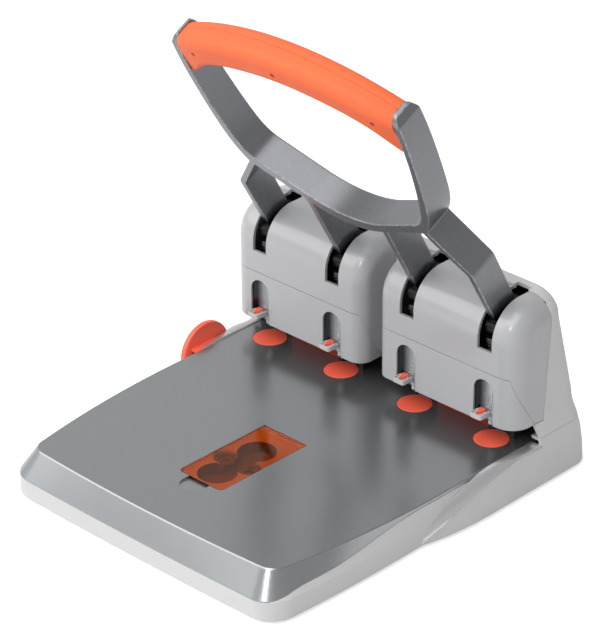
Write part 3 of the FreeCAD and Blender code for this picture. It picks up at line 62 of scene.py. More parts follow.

# Where a second finish begins and ends on a part, in metres; all but the band's bound painted shade
BAND_INSIDE, BAND_FRONT, BAND_BACK = 0.139, -0.1205, 0.0178
POCKET_TOP = 0.0345
BACK_WALL_FROM = 0.036
PIN_SHADE_FROM = 0.1035
NOSE_PLACE = (0.008, 0.128)          # y and z of the lever's noses
NOSE_REACH = (0.021, 0.027)          # the painted shade is full up to the first and gone at the second
COVER_SHADE_REACH = (-0.004, 0.003)        # the same for the painted shade on the covers' left side, from the pin's axis

# A face inside a hollow part sees another of its walls between these distances
HOLLOW_NEAREST, HOLLOW_FARTHEST = 0.015, 0.4
RAY_LIFT = 0.0005

# Scales of the fixed noises, in waves per metre
CLOUD_SCALE = 9.0
SPECK_SCALE = 950.0
GLOSS_SCALE = 38.0
EDGE_BREAKUP_SCALE = 260.0
DUST_SCALE = 2100.0
WAVE_SCALE = 42.0
STREAK_SCALE = 26.0
NOISE_SPREAD = (0.3, 0.7)            # most of a noise lies between these values

# Return springs
COIL_STEPS, WIRE_SIDES = 24, 10

# Rim on a latch tab: distances from the tab and from its front edge
RIM_INSET = 0.0002
RIM_SINK = 0.0003
RIM_LENGTH = 0.0086
RIM_CORNER = 0.0017
RIM_FLOOR = 0.0001
RIM_EDGE = 0.0002

# Screws under the base: seat, places and the shape of a head
CASE_SCREW_SEAT = 0.0030
CASE_SCREW_SINK = 0.0003
CASE_SCREW_EDGE = 0.0005
CASE_SCREW_PLACES = ((-0.12, -0.228), (0.12, -0.228), (-0.12, -0.066), (0.12, -0.066))
RECESS_DEPTH = 0.0008
RECESS_SLIM = 0.25                   # width of a recess arm, as a share of its length
SHORT = 0.00001                      # tells a level edge or vertex from an upright one

# Studio: floor, room and lamps (name, setting of the power, size, place, aim)
FLOOR_SIZE, FLOOR_DROP = 30.0, 0.0002
CEILING_RISE = (0.45, 0.85)          # upward share of a direction where wall turns to ceiling
FAR_WAY = (0.8, 0.6)                 # direction of the dim side, in x and y
LAMPS = (
    ("key lamp", "key", (1.3, 1.3), (-1.2, -1.05, 1.16), (0.0, -0.08, 0.1)),
    ("front lamp", "front", (0.34, 0.34), (0.30, -1.5, 1.2), (0.0, -0.12, 0.05)),
    ("top lamp", "top", (1.4, 1.3), (0.0, -0.8, 1.6), (0.0, -0.08, 0.1)),
)
SENSOR_MM = 36.0
CLIP_END = 50.0


# Settings ---------------------------------------------------------------------------
def colour_setting(name, description, rgb):
    """A colour that a user can change, in linear light."""
    return bpy.props.FloatVectorProperty(
        name=name, description=description, subtype="COLOR", size=3, min=0.0, max=1.0,
        default=rgb)


def length_setting(name, description, metres):
    """A length that a user can change, in metres."""
    return bpy.props.FloatProperty(
        name=name, description=description, unit="LENGTH", min=0.0, precision=5, default=metres)


def level_setting(name, description, level, **kind):
    """A strength or a power that a user can change."""
    return bpy.props.FloatProperty(
        name=name, description=description, min=0.0, default=level, **kind)


def place_setting(name, description, place):
    """A point that a user can move, in metres."""
    return bpy.props.FloatVectorProperty(
        name=name, description=description, subtype="XYZ", unit="LENGTH", size=3, default=place)


class PunchColours(bpy.types.PropertyGroup):
    """Colours of the finishes."""
    head: colour_setting("Heads", "Satin plastic of the two heads", (0.40, 0.402, 0.415))
    housing: colour_setting(
        "Housing", "Light plastic of the base rim and the rear housing", (0.60, 0.598, 0.60))
    table: colour_setting("Table", "Silver-grey paint of the table cover", (0.345, 0.36, 0.37))
    band: colour_setting("Side bands", "Lighter paint of the sweeping bands", (0.66, 0.65, 0.66))
    lever: colour_setting("Lever", "Cast metal of the lever", (0.222, 0.229, 0.244))
    store: colour_setting(
        "Storage tray", "Pale plastic of the tray under the lid", (0.58, 0.51, 0.44))
    # Tray colour darkened for the pockets' floors and walls, as painted shade in the recesses
    pocket: colour_setting(
        "Storage pockets", "Floor of the pockets in that tray", (0.16, 0.13, 0.11))
    grip: colour_setting("Grip", "Orange plastic of the grip", (0.82, 0.145, 0.05))
    signal: colour_setting(
        "Discs", "Red-orange of discs, pointers and side stop", (1.0, 0.14, 0.08))
    # Red of the paper stops, darkened far below the discs' red as painted shade under the heads
    stops: colour_setting(
        "Paper stops", "Deep red of the stops behind the pins", (0.30, 0.024, 0.012))
    lid: colour_setting("Lid", "Amber tint of the storage lid", (0.90, 0.36, 0.12))
    cover: colour_setting("Clear covers", "Cool tint of the clear covers", (0.90, 0.95, 1.0))
    # Dark tint laid over each cover's left side as painted shade
    cover_shade: colour_setting("Covers' painted shade", "Dark edge of those covers", (0.01, 0.012, 0.015))
    tab: colour_setting("Latch tabs", "Grey plastic of the latch tabs", (0.50, 0.505, 0.51))
    # Black of the inner parts; also laid on the lever's noses, the housing's inside and the covers'
    # left ends as painted shade
    dark: colour_setting(
        "Inner parts", "Blackened steel and black plastic inside", (0.012, 0.012, 0.013))
    steel: colour_setting("Steel", "Bright steel of pins and screws", (0.62, 0.62, 0.63))
    # Also laid on the pins' tops inside the heads as painted shade
    spring: colour_setting("Springs", "Dark spring steel", (0.07, 0.07, 0.075))
    bronze: colour_setting("Bushes", "Sintered bronze of the bushes", (0.50, 0.33, 0.15))
    rubber: colour_setting("Rubber", "Strips under the base", (0.02, 0.02, 0.02))
    dust: colour_setting("Dust", "Fine dust on faces that look up", (0.6, 0.6, 0.58))
    floor: colour_setting("Floor", "Pale floor of the studio", (0.80, 0.80, 0.80))


class PunchSizes(bpy.types.PropertyGroup):
    """Sizes of the fittings that are added to the frame."""
    wire: length_setting("Spring wire", "Diameter of the return springs' wire", 0.0012)
    turns: bpy.props.IntProperty(
        name="Spring turns", description="Open turns of a return spring", min=3, max=12,
        default=6)
    case_screw_radius: length_setting(
        "Case screw", "Head radius of the screws under the base", 0.0034)
    case_screw_height: length_setting("Case screw head", "Head height of those screws", 0.0012)
    recess_half: length_setting("Screw recess", "Half width of a cross recess", 0.0019)
    rim_height: length_setting("Tab rim", "Height of the rim on a latch tab", 0.0010)
    rim_width: length_setting("Rim width", "Width of that rim", 0.0009)


class StudioSettings(bpy.types.PropertyGroup):
    """Light, floor and camera."""
    key: level_setting("Key light", "Power of the large lamp at the front left", 9.0, unit="POWER")
    front: level_setting("Front light", "Power of the small lamp in front", 4.5, unit="POWER")
    top: level_setting("Top light", "Power of the lamp above", 16.5, unit="POWER")
    floor_lift: level_setting(
        "Floor lift", "Light added to the floor as the camera sees it", 0.6)
    mirror_share: level_setting(
        "Mirror share", "Share of that light in reflections", 0.4, max=1.0, subtype="FACTOR")
    ceiling: level_setting("Ceiling", "Strength of the room's light overhead", 0.42)
    wall: level_setting("Wall", "Strength of the room's light at eye level", 0.70)
    near_side: level_setting("Near side", "Share of that light from the front left", 1.3)
    far_side: level_setting("Far side", "Share of that light from the back right", 0.66)
    lens: bpy.props.FloatProperty(
        name="Lens", description="Focal length in millimetres", unit="CAMERA", min=10.0,
        default=182.1)
    roll: bpy.props.FloatProperty(
        name="Roll", description="Turn of the camera about its line of sight", subtype="ANGLE",
        default=math.radians(-0.36))
    camera_place: place_setting("Camera", "Place of the camera", (1.5208, -1.6660, 1.3102))
    camera_target: place_setting(
        "Target", "Point that the camera looks at", (-0.03555, -0.05023, 0.10581))


# Shader groups ------------------------------------------------------------------------
class Sheet:
    """A short way to write a node tree: add a node, set its sockets, link it."""

    def __init__(self, tree):
        self.tree = tree

    def add(self, kind, settings=None, **sockets):
        node = self.tree.nodes.new(kind)
        for key, value in (settings or {}).items():
            setattr(node, key, value)
        self.fill(node, sockets)
        return node

    def set(self, node, socket, value):
        """Sets one socket, given by name or number, or links another node's socket to it."""
        target = node.inputs[int(socket)] if socket.isdigit() else node.inputs[socket]
        if isinstance(value, bpy.types.NodeSocket):
            self.tree.links.new(value, target)
        else:
            target.default_value = value

    def fill(self, node, sockets):
        """Sets several sockets. An underscore in a key stands for a space."""
        for key, value in sockets.items():
            self.set(node, key.replace("_", " "), value)

    def calc(self, operation, a, b=0.0, clamp=False):
        node = self.add("ShaderNodeMath", {"operation": operation, "use_clamp": clamp})
        self.set(node, "0", a)
        self.set(node, "1", b)
        return node.outputs[0]

    def remap(self, value, low, high, to_low=0.0, to_high=1.0):
        node = self.add("ShaderNodeMapRange", {"clamp": True}, Value=value)
        self.fill(node, {"From Min": low, "From Max": high, "To Min": to_low, "To Max": to_high})
        return node.outputs[0]

    def noise(self, place, scale, detail=3.0, roughness=0.5):
        node = self.add("ShaderNodeTexNoise", Vector=place, Scale=scale, Detail=detail,
                        Roughness=roughness)
        return node.outputs["Fac"]

    def mix(self, amount, first, second, blend="MIX"):
        node = self.add("ShaderNodeMix", {"data_type": "RGBA", "blend_type": blend})
        self.fill(node, {"0": amount, "6": first, "7": second})
        return node.outputs[2]

    def object_place(self):
        return self.add("ShaderNodeTexCoord").outputs["Object"]

    def split(self, vector):
        return self.add("ShaderNodeSeparateXYZ", Vector=vector).outputs


def new_group(name, inputs, outputs):
    """An empty shader group with the named sockets: its sheet, given values and output node."""
    tree = bpy.data.node_groups.new(name, "ShaderNodeTree")
    for label, value in inputs.items():
        socket = tree.interface.new_socket(label, in_out="INPUT", socket_type="NodeSocketFloat")
        socket.default_value = value
    for label, kind in outputs.items():
        tree.interface.new_socket(label, in_out="OUTPUT", socket_type=f"NodeSocket{kind}")
    sheet = Sheet(tree)
    return sheet, sheet.add("NodeGroupInput").outputs, sheet.add("NodeGroupOutput")


def moulded_skin_group():
    """Fine eroded texture of moulded plastic, with faint slow changes of tone and gloss."""
    sheet, given, out = new_group(
        "Moulded skin",
        {"Grain size": 0.0006, "Grain depth": 0.5},
        {"Height": "Float", "Tone": "Float", "Gloss": "Float"})
    place = sheet.object_place()
    scale = sheet.calc("DIVIDE", 1.0, given["Grain size"])
    grain = sheet.noise(place, scale, detail=2.0, roughness=0.6)
    sheet.set(out, "Height", sheet.calc("MULTIPLY", grain, given["Grain depth"]))
    cloud = sheet.noise(place, CLOUD_SCALE)
    speck = sheet.noise(place, SPECK_SCALE, detail=1.0)
    tone = sheet.calc("ADD", sheet.calc("MULTIPLY", cloud, 0.6), sheet.calc("MULTIPLY", speck, 0.4))
    sheet.set(out, "Tone", tone)
    sheet.set(out, "Gloss", sheet.noise(place, GLOSS_SCALE, detail=4.0, roughness=0.6))
    return sheet.tree


def edge_group():
    """Rounded normals and a broken mask along the outer edges of a part."""
    sheet, given, out = new_group(
        "Soft edge", {"Radius": 0.0006}, {"Normal": "Vector", "Edge": "Float"})
    bevel = sheet.add("ShaderNodeBevel", {"samples": 4}, Radius=given["Radius"]).outputs["Normal"]
    flat = sheet.add("ShaderNodeNewGeometry").outputs["Normal"]
    dot = sheet.add("ShaderNodeVectorMath", {"operation": "DOT_PRODUCT"})
    sheet.fill(dot, {"0": bevel, "1": flat})
    turn = sheet.remap(dot.outputs["Value"], 0.995, 0.80)
    edge_breakup = sheet.noise(sheet.object_place(), EDGE_BREAKUP_SCALE, roughness=0.7)
    sheet.set(out, "Normal", bevel)
    sheet.set(out, "Edge", sheet.calc("MULTIPLY", turn, sheet.remap(edge_breakup, 0.35, 0.65)))
    return sheet.tree


def handling_group():
    """Finger marks in soft patches, and fine dust on faces that look up."""
    sheet, given, out = new_group(
        "Handling", {"Patch size": 0.05}, {"Smudge": "Float", "Dust": "Float"})
    place = sheet.object_place()
    scale = sheet.calc("DIVIDE", 1.0, given["Patch size"])
    patch = sheet.noise(place, scale, detail=5.0, roughness=0.65)
    sheet.set(out, "Smudge", sheet.remap(patch, 0.42, 0.68))
    up = sheet.split(sheet.add("ShaderNodeNewGeometry").outputs["Normal"])["Z"]
    fine = sheet.remap(sheet.noise(place, DUST_SCALE, detail=2.0), 0.58, 0.72)
    sheet.set(out, "Dust", sheet.calc("MULTIPLY", sheet.remap(up, 0.3, 1.0), fine))
    return sheet.tree


def cast_skin_group():
    """Tumbled casting: soft waviness, fine pits and streaks along the lever's length."""
    sheet, given, out = new_group(
        "Cast skin", {"Pit size": 0.0012}, {"Height": "Float", "Streak": "Float", "Pits": "Float"})
    place = sheet.object_place()
    scale = sheet.calc("DIVIDE", 1.0, given["Pit size"])
    pits = sheet.noise(place, scale, roughness=0.6)
    wave = sheet.noise(place, WAVE_SCALE, detail=2.0)
    height = sheet.calc("ADD", sheet.calc("MULTIPLY", wave, 0.7), sheet.calc("MULTIPLY", pits, 0.3))
    sheet.set(out, "Height", height)
    long_way = sheet.add("ShaderNodeMapping", Vector=place, Scale=(1.0, 9.0, 3.0))
    streak = sheet.noise(long_way.outputs["Vector"], STREAK_SCALE, detail=4.0, roughness=0.6)
    sheet.set(out, "Streak", streak)
    sheet.set(out, "Pits", sheet.remap(pits, 0.56, 0.72))
    return sheet.tree


GROUP_MAKERS = {"skin": moulded_skin_group, "edge": edge_group, "handling": handling_group,
                "cast": cast_skin_group}
GROUPS = {}


def group(sheet, name, **sockets):
    """Places a shared effect in a material. The group itself is built the first time."""
    if name not in GROUPS:
        GROUPS[name] = GROUP_MAKERS[name]()
    node = sheet.add("ShaderNodeGroup", {"node_tree": GROUPS[name]}, **sockets)
    return node.outputs


# Finishes -------------------------------------------------------------------------------
def blank_material(name):
    """A material with only a Principled BSDF joined to its output."""
    material = bpy.data.materials.new(name)
    material.use_nodes = True
    material.node_tree.nodes.clear()
    sheet = Sheet(material.node_tree)
    shader = sheet.add("ShaderNodeBsdfPrincipled")
    out = sheet.add("ShaderNodeOutputMaterial")
    sheet.set(out, "Surface", shader.outputs["BSDF"])
    return material, sheet, shader


def shade(rgb, factor=1.0):
    """A lighter or darker tone of a colour, with full alpha."""
    return tuple(min(1.0, c * factor) for c in rgb) + (1.0,)


def patchy_gloss(sheet, pattern, gloss, smudge):
    """Roughness that wanders between two values and is raised under finger marks."""
    rough = sheet.remap(pattern, *NOISE_SPREAD, *gloss)
    return sheet.calc("ADD", rough, smudge, clamp=True)


def set_surface(sheet, shader, colour, rough, bump):
    """Joins colour, roughness and a bump to a shader."""
    bump = sheet.add("ShaderNodeBump", **bump)
    sheet.fill(shader, {"Base Color": colour, "Roughness": rough,
                        "Normal": bump.outputs["Normal"]})


def moulded(name, rgb, gloss=(0.38, 0.52), grain=0.0006, depth=0.00004, edge=0.0005, edge_wear_and_highlight=1.25,
            tone=0.05, dust=0.0, smudge=0.05, **sockets):
    """Moulded or painted plastic: eroded grain, patchy gloss, rubbed edges, a trace of dust."""
    material, sheet, shader = blank_material(name)
    skin = group(sheet, "skin", Grain_size=grain)
    soft = group(sheet, "edge", Radius=edge)
    marks = group(sheet, "handling")
    colour = sheet.mix(skin["Tone"], shade(rgb, 1 - tone), shade(rgb, 1 + tone))
    colour = sheet.mix(sheet.calc("MULTIPLY", soft["Edge"], 0.6), colour, shade(rgb, edge_wear_and_highlight))
    if dust:
        pale = shade(bpy.context.scene.punch_colours.dust)
        colour = sheet.mix(sheet.calc("MULTIPLY", marks["Dust"], dust), colour, pale)
    rough = patchy_gloss(
        sheet, skin["Gloss"], gloss, sheet.calc("MULTIPLY", marks["Smudge"], smudge))
    set_surface(sheet, shader, colour, rough, {
        "Height": skin["Height"], "Normal": soft["Normal"], "Strength": 0.5, "Distance": depth})
    sheet.fill(shader, sockets)
    return material


def head_finish(colours):
    return moulded("satin head plastic", colours.head, gloss=(0.34, 0.44), edge=0.0006,
                   Coat_Weight=0.8, Coat_Roughness=0.10)


def housing_finish(colours):
    return moulded("light housing plastic", colours.housing, gloss=(0.42, 0.55), edge=0.0007,
                   dust=0.1)


def table_finish(colours):
    return moulded("silver table paint", colours.table, gloss=(0.235, 0.255), depth=0.000002,
                   edge=0.0004, tone=0.02, edge_wear_and_highlight=1.5, smudge=0.005, Metallic=0.85)


def band_finish(colours):
    return moulded("light band paint", colours.band, gloss=(0.22, 0.25), depth=0.000002,
                   edge=0.0004, tone=0.02, edge_wear_and_highlight=1.0, smudge=0.0, Metallic=0.75)


def grip_finish(colours):
    return moulded("orange grip plastic", colours.grip, gloss=(0.50, 0.58), edge=0.0004,
                   edge_wear_and_highlight=1.08, tone=0.03, Specular_IOR_Level=0.25)


def signal_finish(colours):
    return moulded("red-orange plastic", colours.signal, gloss=(0.42, 0.52), edge=0.0003,
                   edge_wear_and_highlight=1.1, tone=0.03)


# The stops' red is darkened as painted shade for the shadow under the heads
def stops_painted_shade_finish(colours):
    return moulded("deep red plastic", colours.stops, gloss=(0.45, 0.55), edge=0.0003)


def tab_finish(colours):
    return moulded("grey tab plastic", colours.tab, gloss=(0.35, 0.45), edge=0.0002)


# Blackened steel; where it is laid on the housing's inside and the covers' left ends it is painted
# shade
def dark_finish(colours):
    return moulded("blackened steel", colours.dark, gloss=(0.38, 0.50), edge=0.0003, edge_wear_and_highlight=3.0,
                   tone=0.2)


def store_finish(colours):
    return moulded("pale tray plastic", colours.store, gloss=(0.45, 0.55), edge=0.0003)


# The tray's own plastic, darkened as painted shade in the pockets
def pocket_painted_shade_finish(colours):
    return moulded("dark pocket plastic", colours.pocket, gloss=(0.45, 0.55), edge=0.0003)


def under_finish(colours):
    return moulded("black case plastic", colours.dark, gloss=(0.5, 0.62), grain=0.0009,
                   edge=0.0003, edge_wear_and_highlight=2.0)


def rubber_finish(colours):
    return moulded("foot rubber", colours.rubber, gloss=(0.72, 0.85), grain=0.0012, depth=0.0001,
                   tone=0.15, dust=0.4)


def metal(name, rgb, gloss, streak=0.12, pit=0.0012, depth=0.00005, edge=0.0004, edge_wear_and_highlight=1.25,
          pits=0.25, smudge=0.06, **sockets):
    """Bare metal with streaks, pits and bright edges: rubbed wear, and on the lever also a painted
    highlight.
    """
    material, sheet, shader = blank_material(name)
    cast = group(sheet, "cast", Pit_size=pit)
    soft = group(sheet, "edge", Radius=edge)
    marks = group(sheet, "handling", Patch_size=0.03)
    colour = sheet.mix(cast["Streak"], shade(rgb, 1 - streak), shade(rgb, 1 + streak))
    colour = sheet.mix(sheet.calc("MULTIPLY", cast["Pits"], pits), colour, shade(rgb, 0.55))
    colour = sheet.mix(sheet.calc("MULTIPLY", soft["Edge"], 0.7), colour, shade(rgb, edge_wear_and_highlight))
    rough = patchy_gloss(
        sheet, cast["Streak"], gloss, sheet.calc("MULTIPLY", marks["Smudge"], smudge))
    set_surface(sheet, shader, colour, rough, {
        "Height": cast["Height"], "Normal": soft["Normal"], "Strength": 0.4, "Distance": depth})
    sheet.fill(shader, {"Metallic": 1.0, **sockets})
    return material


def tint(material, mask, rgb):
    """Blends a second colour over a finished material's own, where the mask says."""
    sheet = Sheet(material.node_tree)
    shader = material.node_tree.nodes["Principled BSDF"]
    bare = shader.inputs["Base Color"].links[0].from_socket
    sheet.set(shader, "Base Color", sheet.mix(mask, bare, shade(rgb)))


def lever_finish(colours):
    """Satin casting with bright edges, mostly painted highlight, darkened as painted shade where
    its noses work in the heads.
    """
    # Edges brightened four-fold as painted highlight, over rubbed wear
    material = metal("cast lever metal", colours.lever, (0.26, 0.31), streak=0.04,
                     depth=0.000003, edge=0.0018, edge_wear_and_highlight=4.0, pits=0.0, smudge=0.01, Metallic=0.85)
    sheet = Sheet(material.node_tree)
    parts = sheet.split(sheet.object_place())
    squares = []
    for axis, centre in zip("YZ", NOSE_PLACE):
        offset = sheet.calc("SUBTRACT", parts[axis], centre)
        squares.append(sheet.calc("MULTIPLY", offset, offset))
    reach = sheet.calc("SQRT", sheet.calc("ADD", *squares))
    full, gone = NOSE_REACH
    # Painted shade: the noses inside the heads take the dark colour
    tint(material, sheet.remap(reach, gone, full), colours.dark)
    return material


def steel_finish(colours):
    return metal("bright steel", colours.steel, (0.14, 0.24), streak=0.08, pit=0.0004,
                 depth=0.00001, edge=0.0002)


# Dark spring steel on the springs; on the pins' tops it is painted shade
def spring_steel_and_painted_shade_finish(colours):
    return metal("dark spring steel", colours.spring, (0.25, 0.38), streak=0.10, pit=0.0004,
                 depth=0.00001, edge=0.0002)


def bronze_finish(colours):
    return metal("bearing bronze", colours.bronze, (0.30, 0.45), streak=0.15, pit=0.0003,
                 edge=0.0002)


def clear_plastic(name, rgb, rough, **sockets):
    """See-through moulded plastic with faint flow lines and finger marks."""
    material, sheet, shader = blank_material(name)
    marks = group(sheet, "handling", Patch_size=0.02)
    skin = group(sheet, "skin", Grain_size=0.004)
    colour = sheet.mix(skin["Tone"], shade(rgb, 0.94), shade(rgb, 1.04))
    rough = sheet.calc("ADD", sheet.calc("MULTIPLY", marks["Smudge"], 0.05), rough)
    set_surface(sheet, shader, colour, rough, {
        "Height": skin["Gloss"], "Strength": 0.15, "Distance": 0.0002})
    sheet.fill(shader, {"Transmission Weight": 1.0, **sockets})
    return material


def lid_finish(colours):
    return clear_plastic("amber lid plastic", colours.lid, 0.04, IOR=1.3)


def clear_finish(colours):
    """Milky clear cover, darkened towards its left side as painted shade, the same on all four
    stations.
    """
    material = clear_plastic("clear cover plastic", colours.cover, 0.05, IOR=1.3)
    sheet = Sheet(material.node_tree)
    shader = material.node_tree.nodes["Principled BSDF"]
    sheet.set(shader, "Transmission Weight", 0.8)
    across = sheet.split(sheet.object_place())["X"]
    # Counted from the left of each station, so that the pin's axis lies at half a pitch
    across = sheet.calc("ADD", across, 3 * STATION_PITCH)
    across = sheet.calc("MODULO", across, STATION_PITCH)
    full, gone = (STATION_PITCH / 2 + reach for reach in COVER_SHADE_REACH)
    # Painted shade: each cover turns dark towards its left side
    tint(material, sheet.remap(across, gone, full), colours.cover_shade)
    return material


FINISHES = (
    (head_finish, ("head_upper_cover", "head_lower_cover")),
    (housing_finish, ("base_tray", "rear_housing")),
    (table_finish, ("table_cover",)),
    (under_finish, ("bottom_cover",)),
    (store_finish, ("storage_tray",)),
    (rubber_finish, ("rubber_strips",)),
    (grip_finish, ("grip_front", "grip_rear")),
    (signal_finish, ("cutting_disc", "latch_pointer", "side_stop")),
    (stops_painted_shade_finish, ("paper_stops",)),
    (tab_finish, ("latch_tab",)),
    # Inner parts in blackened steel; the press frame and thrust pads are made black also as painted
    # shade inside the heads
    (dark_finish, ("press_frame", "die_plate", "thrust_pads", "grip_screws", "pivot_shaft",
                   "shaft_clips", "stop_rods")),
    (lever_finish, ("lever_frame",)),
    (steel_finish, ("punch_pin", "frame_bolts")),
    (spring_steel_and_painted_shade_finish, ("pin_spring",)),
    (bronze_finish, ("guide_bushes", "arm_bushes")),
    (lid_finish, ("storage_lid",)),
    (clear_finish, ("pin_cartridge",)),
)
MADE = {}


def finish_of(maker):
    """The material that a finish function makes, built once."""
    if maker not in MADE:
        MADE[maker] = maker(bpy.context.scene.punch_colours)
    return MADE[maker]


def wear_finish(piece, maker):
    """Gives a piece or a CAD node one finish all over."""
    piece.data.materials.clear()
    piece.data.materials.append(finish_of(maker))
    for polygon in piece.data.polygons:
        polygon.material_index = 0


def paint(piece, maker, chosen):
    """Gives the chosen faces of a part a second finish."""
    piece.data.materials.append(finish_of(maker))
    index = len(piece.data.materials) - 1
    for polygon in piece.data.polygons:
        if chosen(polygon):
            polygon.material_index = index


def looks_inward(piece):
    """A test that finds the faces inside a hollow part: each looks at another wall of it."""
    mesh = piece.data
    faces = [tuple(polygon.vertices) for polygon in mesh.polygons]
    tree = BVHTree.FromPolygons([vertex.co for vertex in mesh.vertices], faces)

    def test(polygon):
        start = polygon.center + polygon.normal * RAY_LIFT
        distance = tree.ray_cast(start, polygon.normal, HOLLOW_FARTHEST)[3]
        return distance is not None and distance > HOLLOW_NEAREST
    return test


def on_band(polygon):
    """The sweeping band along each side of the base."""
    x, y = polygon.center.xy
    return abs(x) > BAND_INSIDE and BAND_FRONT < y < BAND_BACK and polygon.normal.z > 0.15


def in_back_wall(polygon):
    """The inner side of the rear housing's back wall."""
    return polygon.center.y > BACK_WALL_FROM and polygon.normal.y < -0.4


def on_pocket(polygon):
    return polygon.center.z < POCKET_TOP and polygon.normal.z > -0.5


def on_pin_top(polygon):
    return polygon.center.z > PIN_SHADE_FROM


def on_left_end(polygon):
    return polygon.normal.x < -0.5


class PUNCH_OT_finishes(bpy.types.Operator):
    """Give every part of the frame its finish"""
    bl_idname = "punch.finishes"
    bl_label = "Finishes"

    def execute(self, context):
        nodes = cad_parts
        for maker, prefixes in FINISHES:
            for name, node in nodes.items():
                if name.startswith(prefixes):
                    wear_finish(node, maker)
        paint(nodes["base_tray"], band_finish, on_band)
        # Pocket floors and walls take the darkened tray colour as painted shade
        paint(nodes["storage_tray"], pocket_painted_shade_finish, on_pocket)
        # Painted shade: the housing's inside faces and the inner side of its back wall take the
        # black finish
        paint(nodes["rear_housing"], dark_finish, looks_inward(nodes["rear_housing"]))
        paint(nodes["rear_housing"], dark_finish, in_back_wall)
        for n in STATIONS:
            # Painted shade: the pins' tops inside the heads take the dark spring steel
            paint(nodes[f"punch_pin_{n}"], spring_steel_and_painted_shade_finish, on_pin_top)
            # The covers' left end faces take the black finish as painted shade
            paint(nodes[f"pin_cartridge_{n}"], dark_finish, on_left_end)
        return {"FINISHED"}


# Modelling helpers ---------------------------------------------------------------------
def deselect():
    bpy.ops.object.select_all(action="DESELECT")


def apply_place(piece):
    """Moves a piece's place, turn and scale into its mesh."""
    deselect()
    piece.select_set(True)
    bpy.context.view_layer.objects.active = piece
    bpy.ops.object.transform_apply(location=True, rotation=True, scale=True)


def settle(piece, name, body, maker, smooth=40.0):
    """Names a piece, applies its place, smooths it, finishes it and sets it on its body."""
    apply_place(piece)
    bpy.ops.object.shade_smooth_by_angle(angle=math.radians(smooth))
    piece.name = name
    piece.data.name = name
    wear_finish(piece, maker)
    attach(piece, body)


def apply_modifiers(piece):
    bpy.context.view_layer.objects.active = piece
    for modifier in list(piece.modifiers):
        bpy.ops.object.modifier_apply(modifier=modifier.name)


def join(pieces):
    """Joins the pieces into the first one."""
    deselect()
    for piece in pieces:
        piece.select_set(True)
    bpy.context.view_layer.objects.active = pieces[0]
    bpy.ops.object.join()
    return bpy.context.object


def with_copies(first, count):
    """The piece and its copies, each with its own mesh."""
    pieces = [first]
    for _ in range(count - 1):
        piece = first.copy()
        piece.data = first.data.copy()
        bpy.context.collection.objects.link(piece)
        pieces.append(piece)
    return pieces


def pick(piece, mode, chosen):
    """Enters edit mode with the chosen faces or edges selected."""
    bpy.context.view_layer.objects.active = piece
    bpy.ops.object.mode_set(mode="EDIT")
    bpy.ops.mesh.select_mode(type=mode)
    bpy.ops.mesh.select_all(action="DESELECT")
    bpy.ops.object.mode_set(mode="OBJECT")
    for item in (piece.data.polygons if mode == "FACE" else piece.data.edges):
        item.select = chosen(item)
    bpy.ops.object.mode_set(mode="EDIT")


def block(low, high):
    """A box between two corners, with its scale applied."""
    deselect()
    bpy.ops.mesh.primitive_cube_add(size=1.0, location=(low + high) / 2)
    piece = bpy.context.object
    piece.scale = high - low
    apply_place(piece)
    return piece


# Return springs ---------------------------------------------------------------------------
def coil_spring(bottom, top, coil_radius, wire, turns):
    """An open helix of round wire with one closed turn at each end."""
    deselect()
    half = wire / 2
    bpy.ops.mesh.primitive_circle_add(
        vertices=WIRE_SIDES, radius=half, fill_type="NOTHING", rotation=(math.pi / 2, 0, 0),
        location=(coil_radius, 0, bottom + 1.5 * wire))
    helix = bpy.context.object
    apply_place(helix)
    screw = helix.modifiers.new("Turns", "SCREW")
    screw.axis = "Z"
    screw.screw_offset = (top - bottom - 3 * wire) / turns
    screw.iterations = turns
    screw.steps = COIL_STEPS
    screw.render_steps = COIL_STEPS
    screw.use_normal_calculate = True
    apply_modifiers(helix)
    bpy.ops.object.mode_set(mode="EDIT")
    bpy.ops.mesh.select_all(action="DESELECT")
    bpy.ops.mesh.select_non_manifold()
    bpy.ops.mesh.edge_face_add()
    bpy.ops.mesh.select_all(action="SELECT")
    bpy.ops.mesh.normals_make_consistent(inside=False)
    bpy.ops.object.mode_set(mode="OBJECT")
    rings = [helix]
    for z in (bottom + half, top - half):
        deselect()
        bpy.ops.mesh.primitive_torus_add(
            major_segments=COIL_STEPS, minor_segments=WIRE_SIDES, major_radius=coil_radius,
            minor_radius=half, location=(0, 0, z))
        rings.append(bpy.context.object)
    return join(rings)


class PUNCH_OT_return_springs(bpy.types.Operator):
    """Wind the four return springs that lift the pins"""
    bl_idname = "punch.return_springs"
    bl_label = "Return springs"

    def execute(self, context):
        sizes = context.scene.punch_sizes
        low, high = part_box("pin_spring_1")
        radius = (high.x - low.x - sizes.wire) / 2
        first = coil_spring(low.z, high.z, radius, sizes.wire, sizes.turns)
        for n, spring in zip(STATIONS, with_copies(first, len(STATIONS))):
            node, joint = f"pin_spring_{n}", f"pin_slide_{n}"
            foot = sum(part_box(node), Vector()) / 2
            foot.z = 0.0
            spring.location = foot
            settle(spring, f"coil_spring_{n}", "base", spring_steel_and_painted_shade_finish)
            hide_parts(node)
            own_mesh(spring)
        return {"FINISHED"}


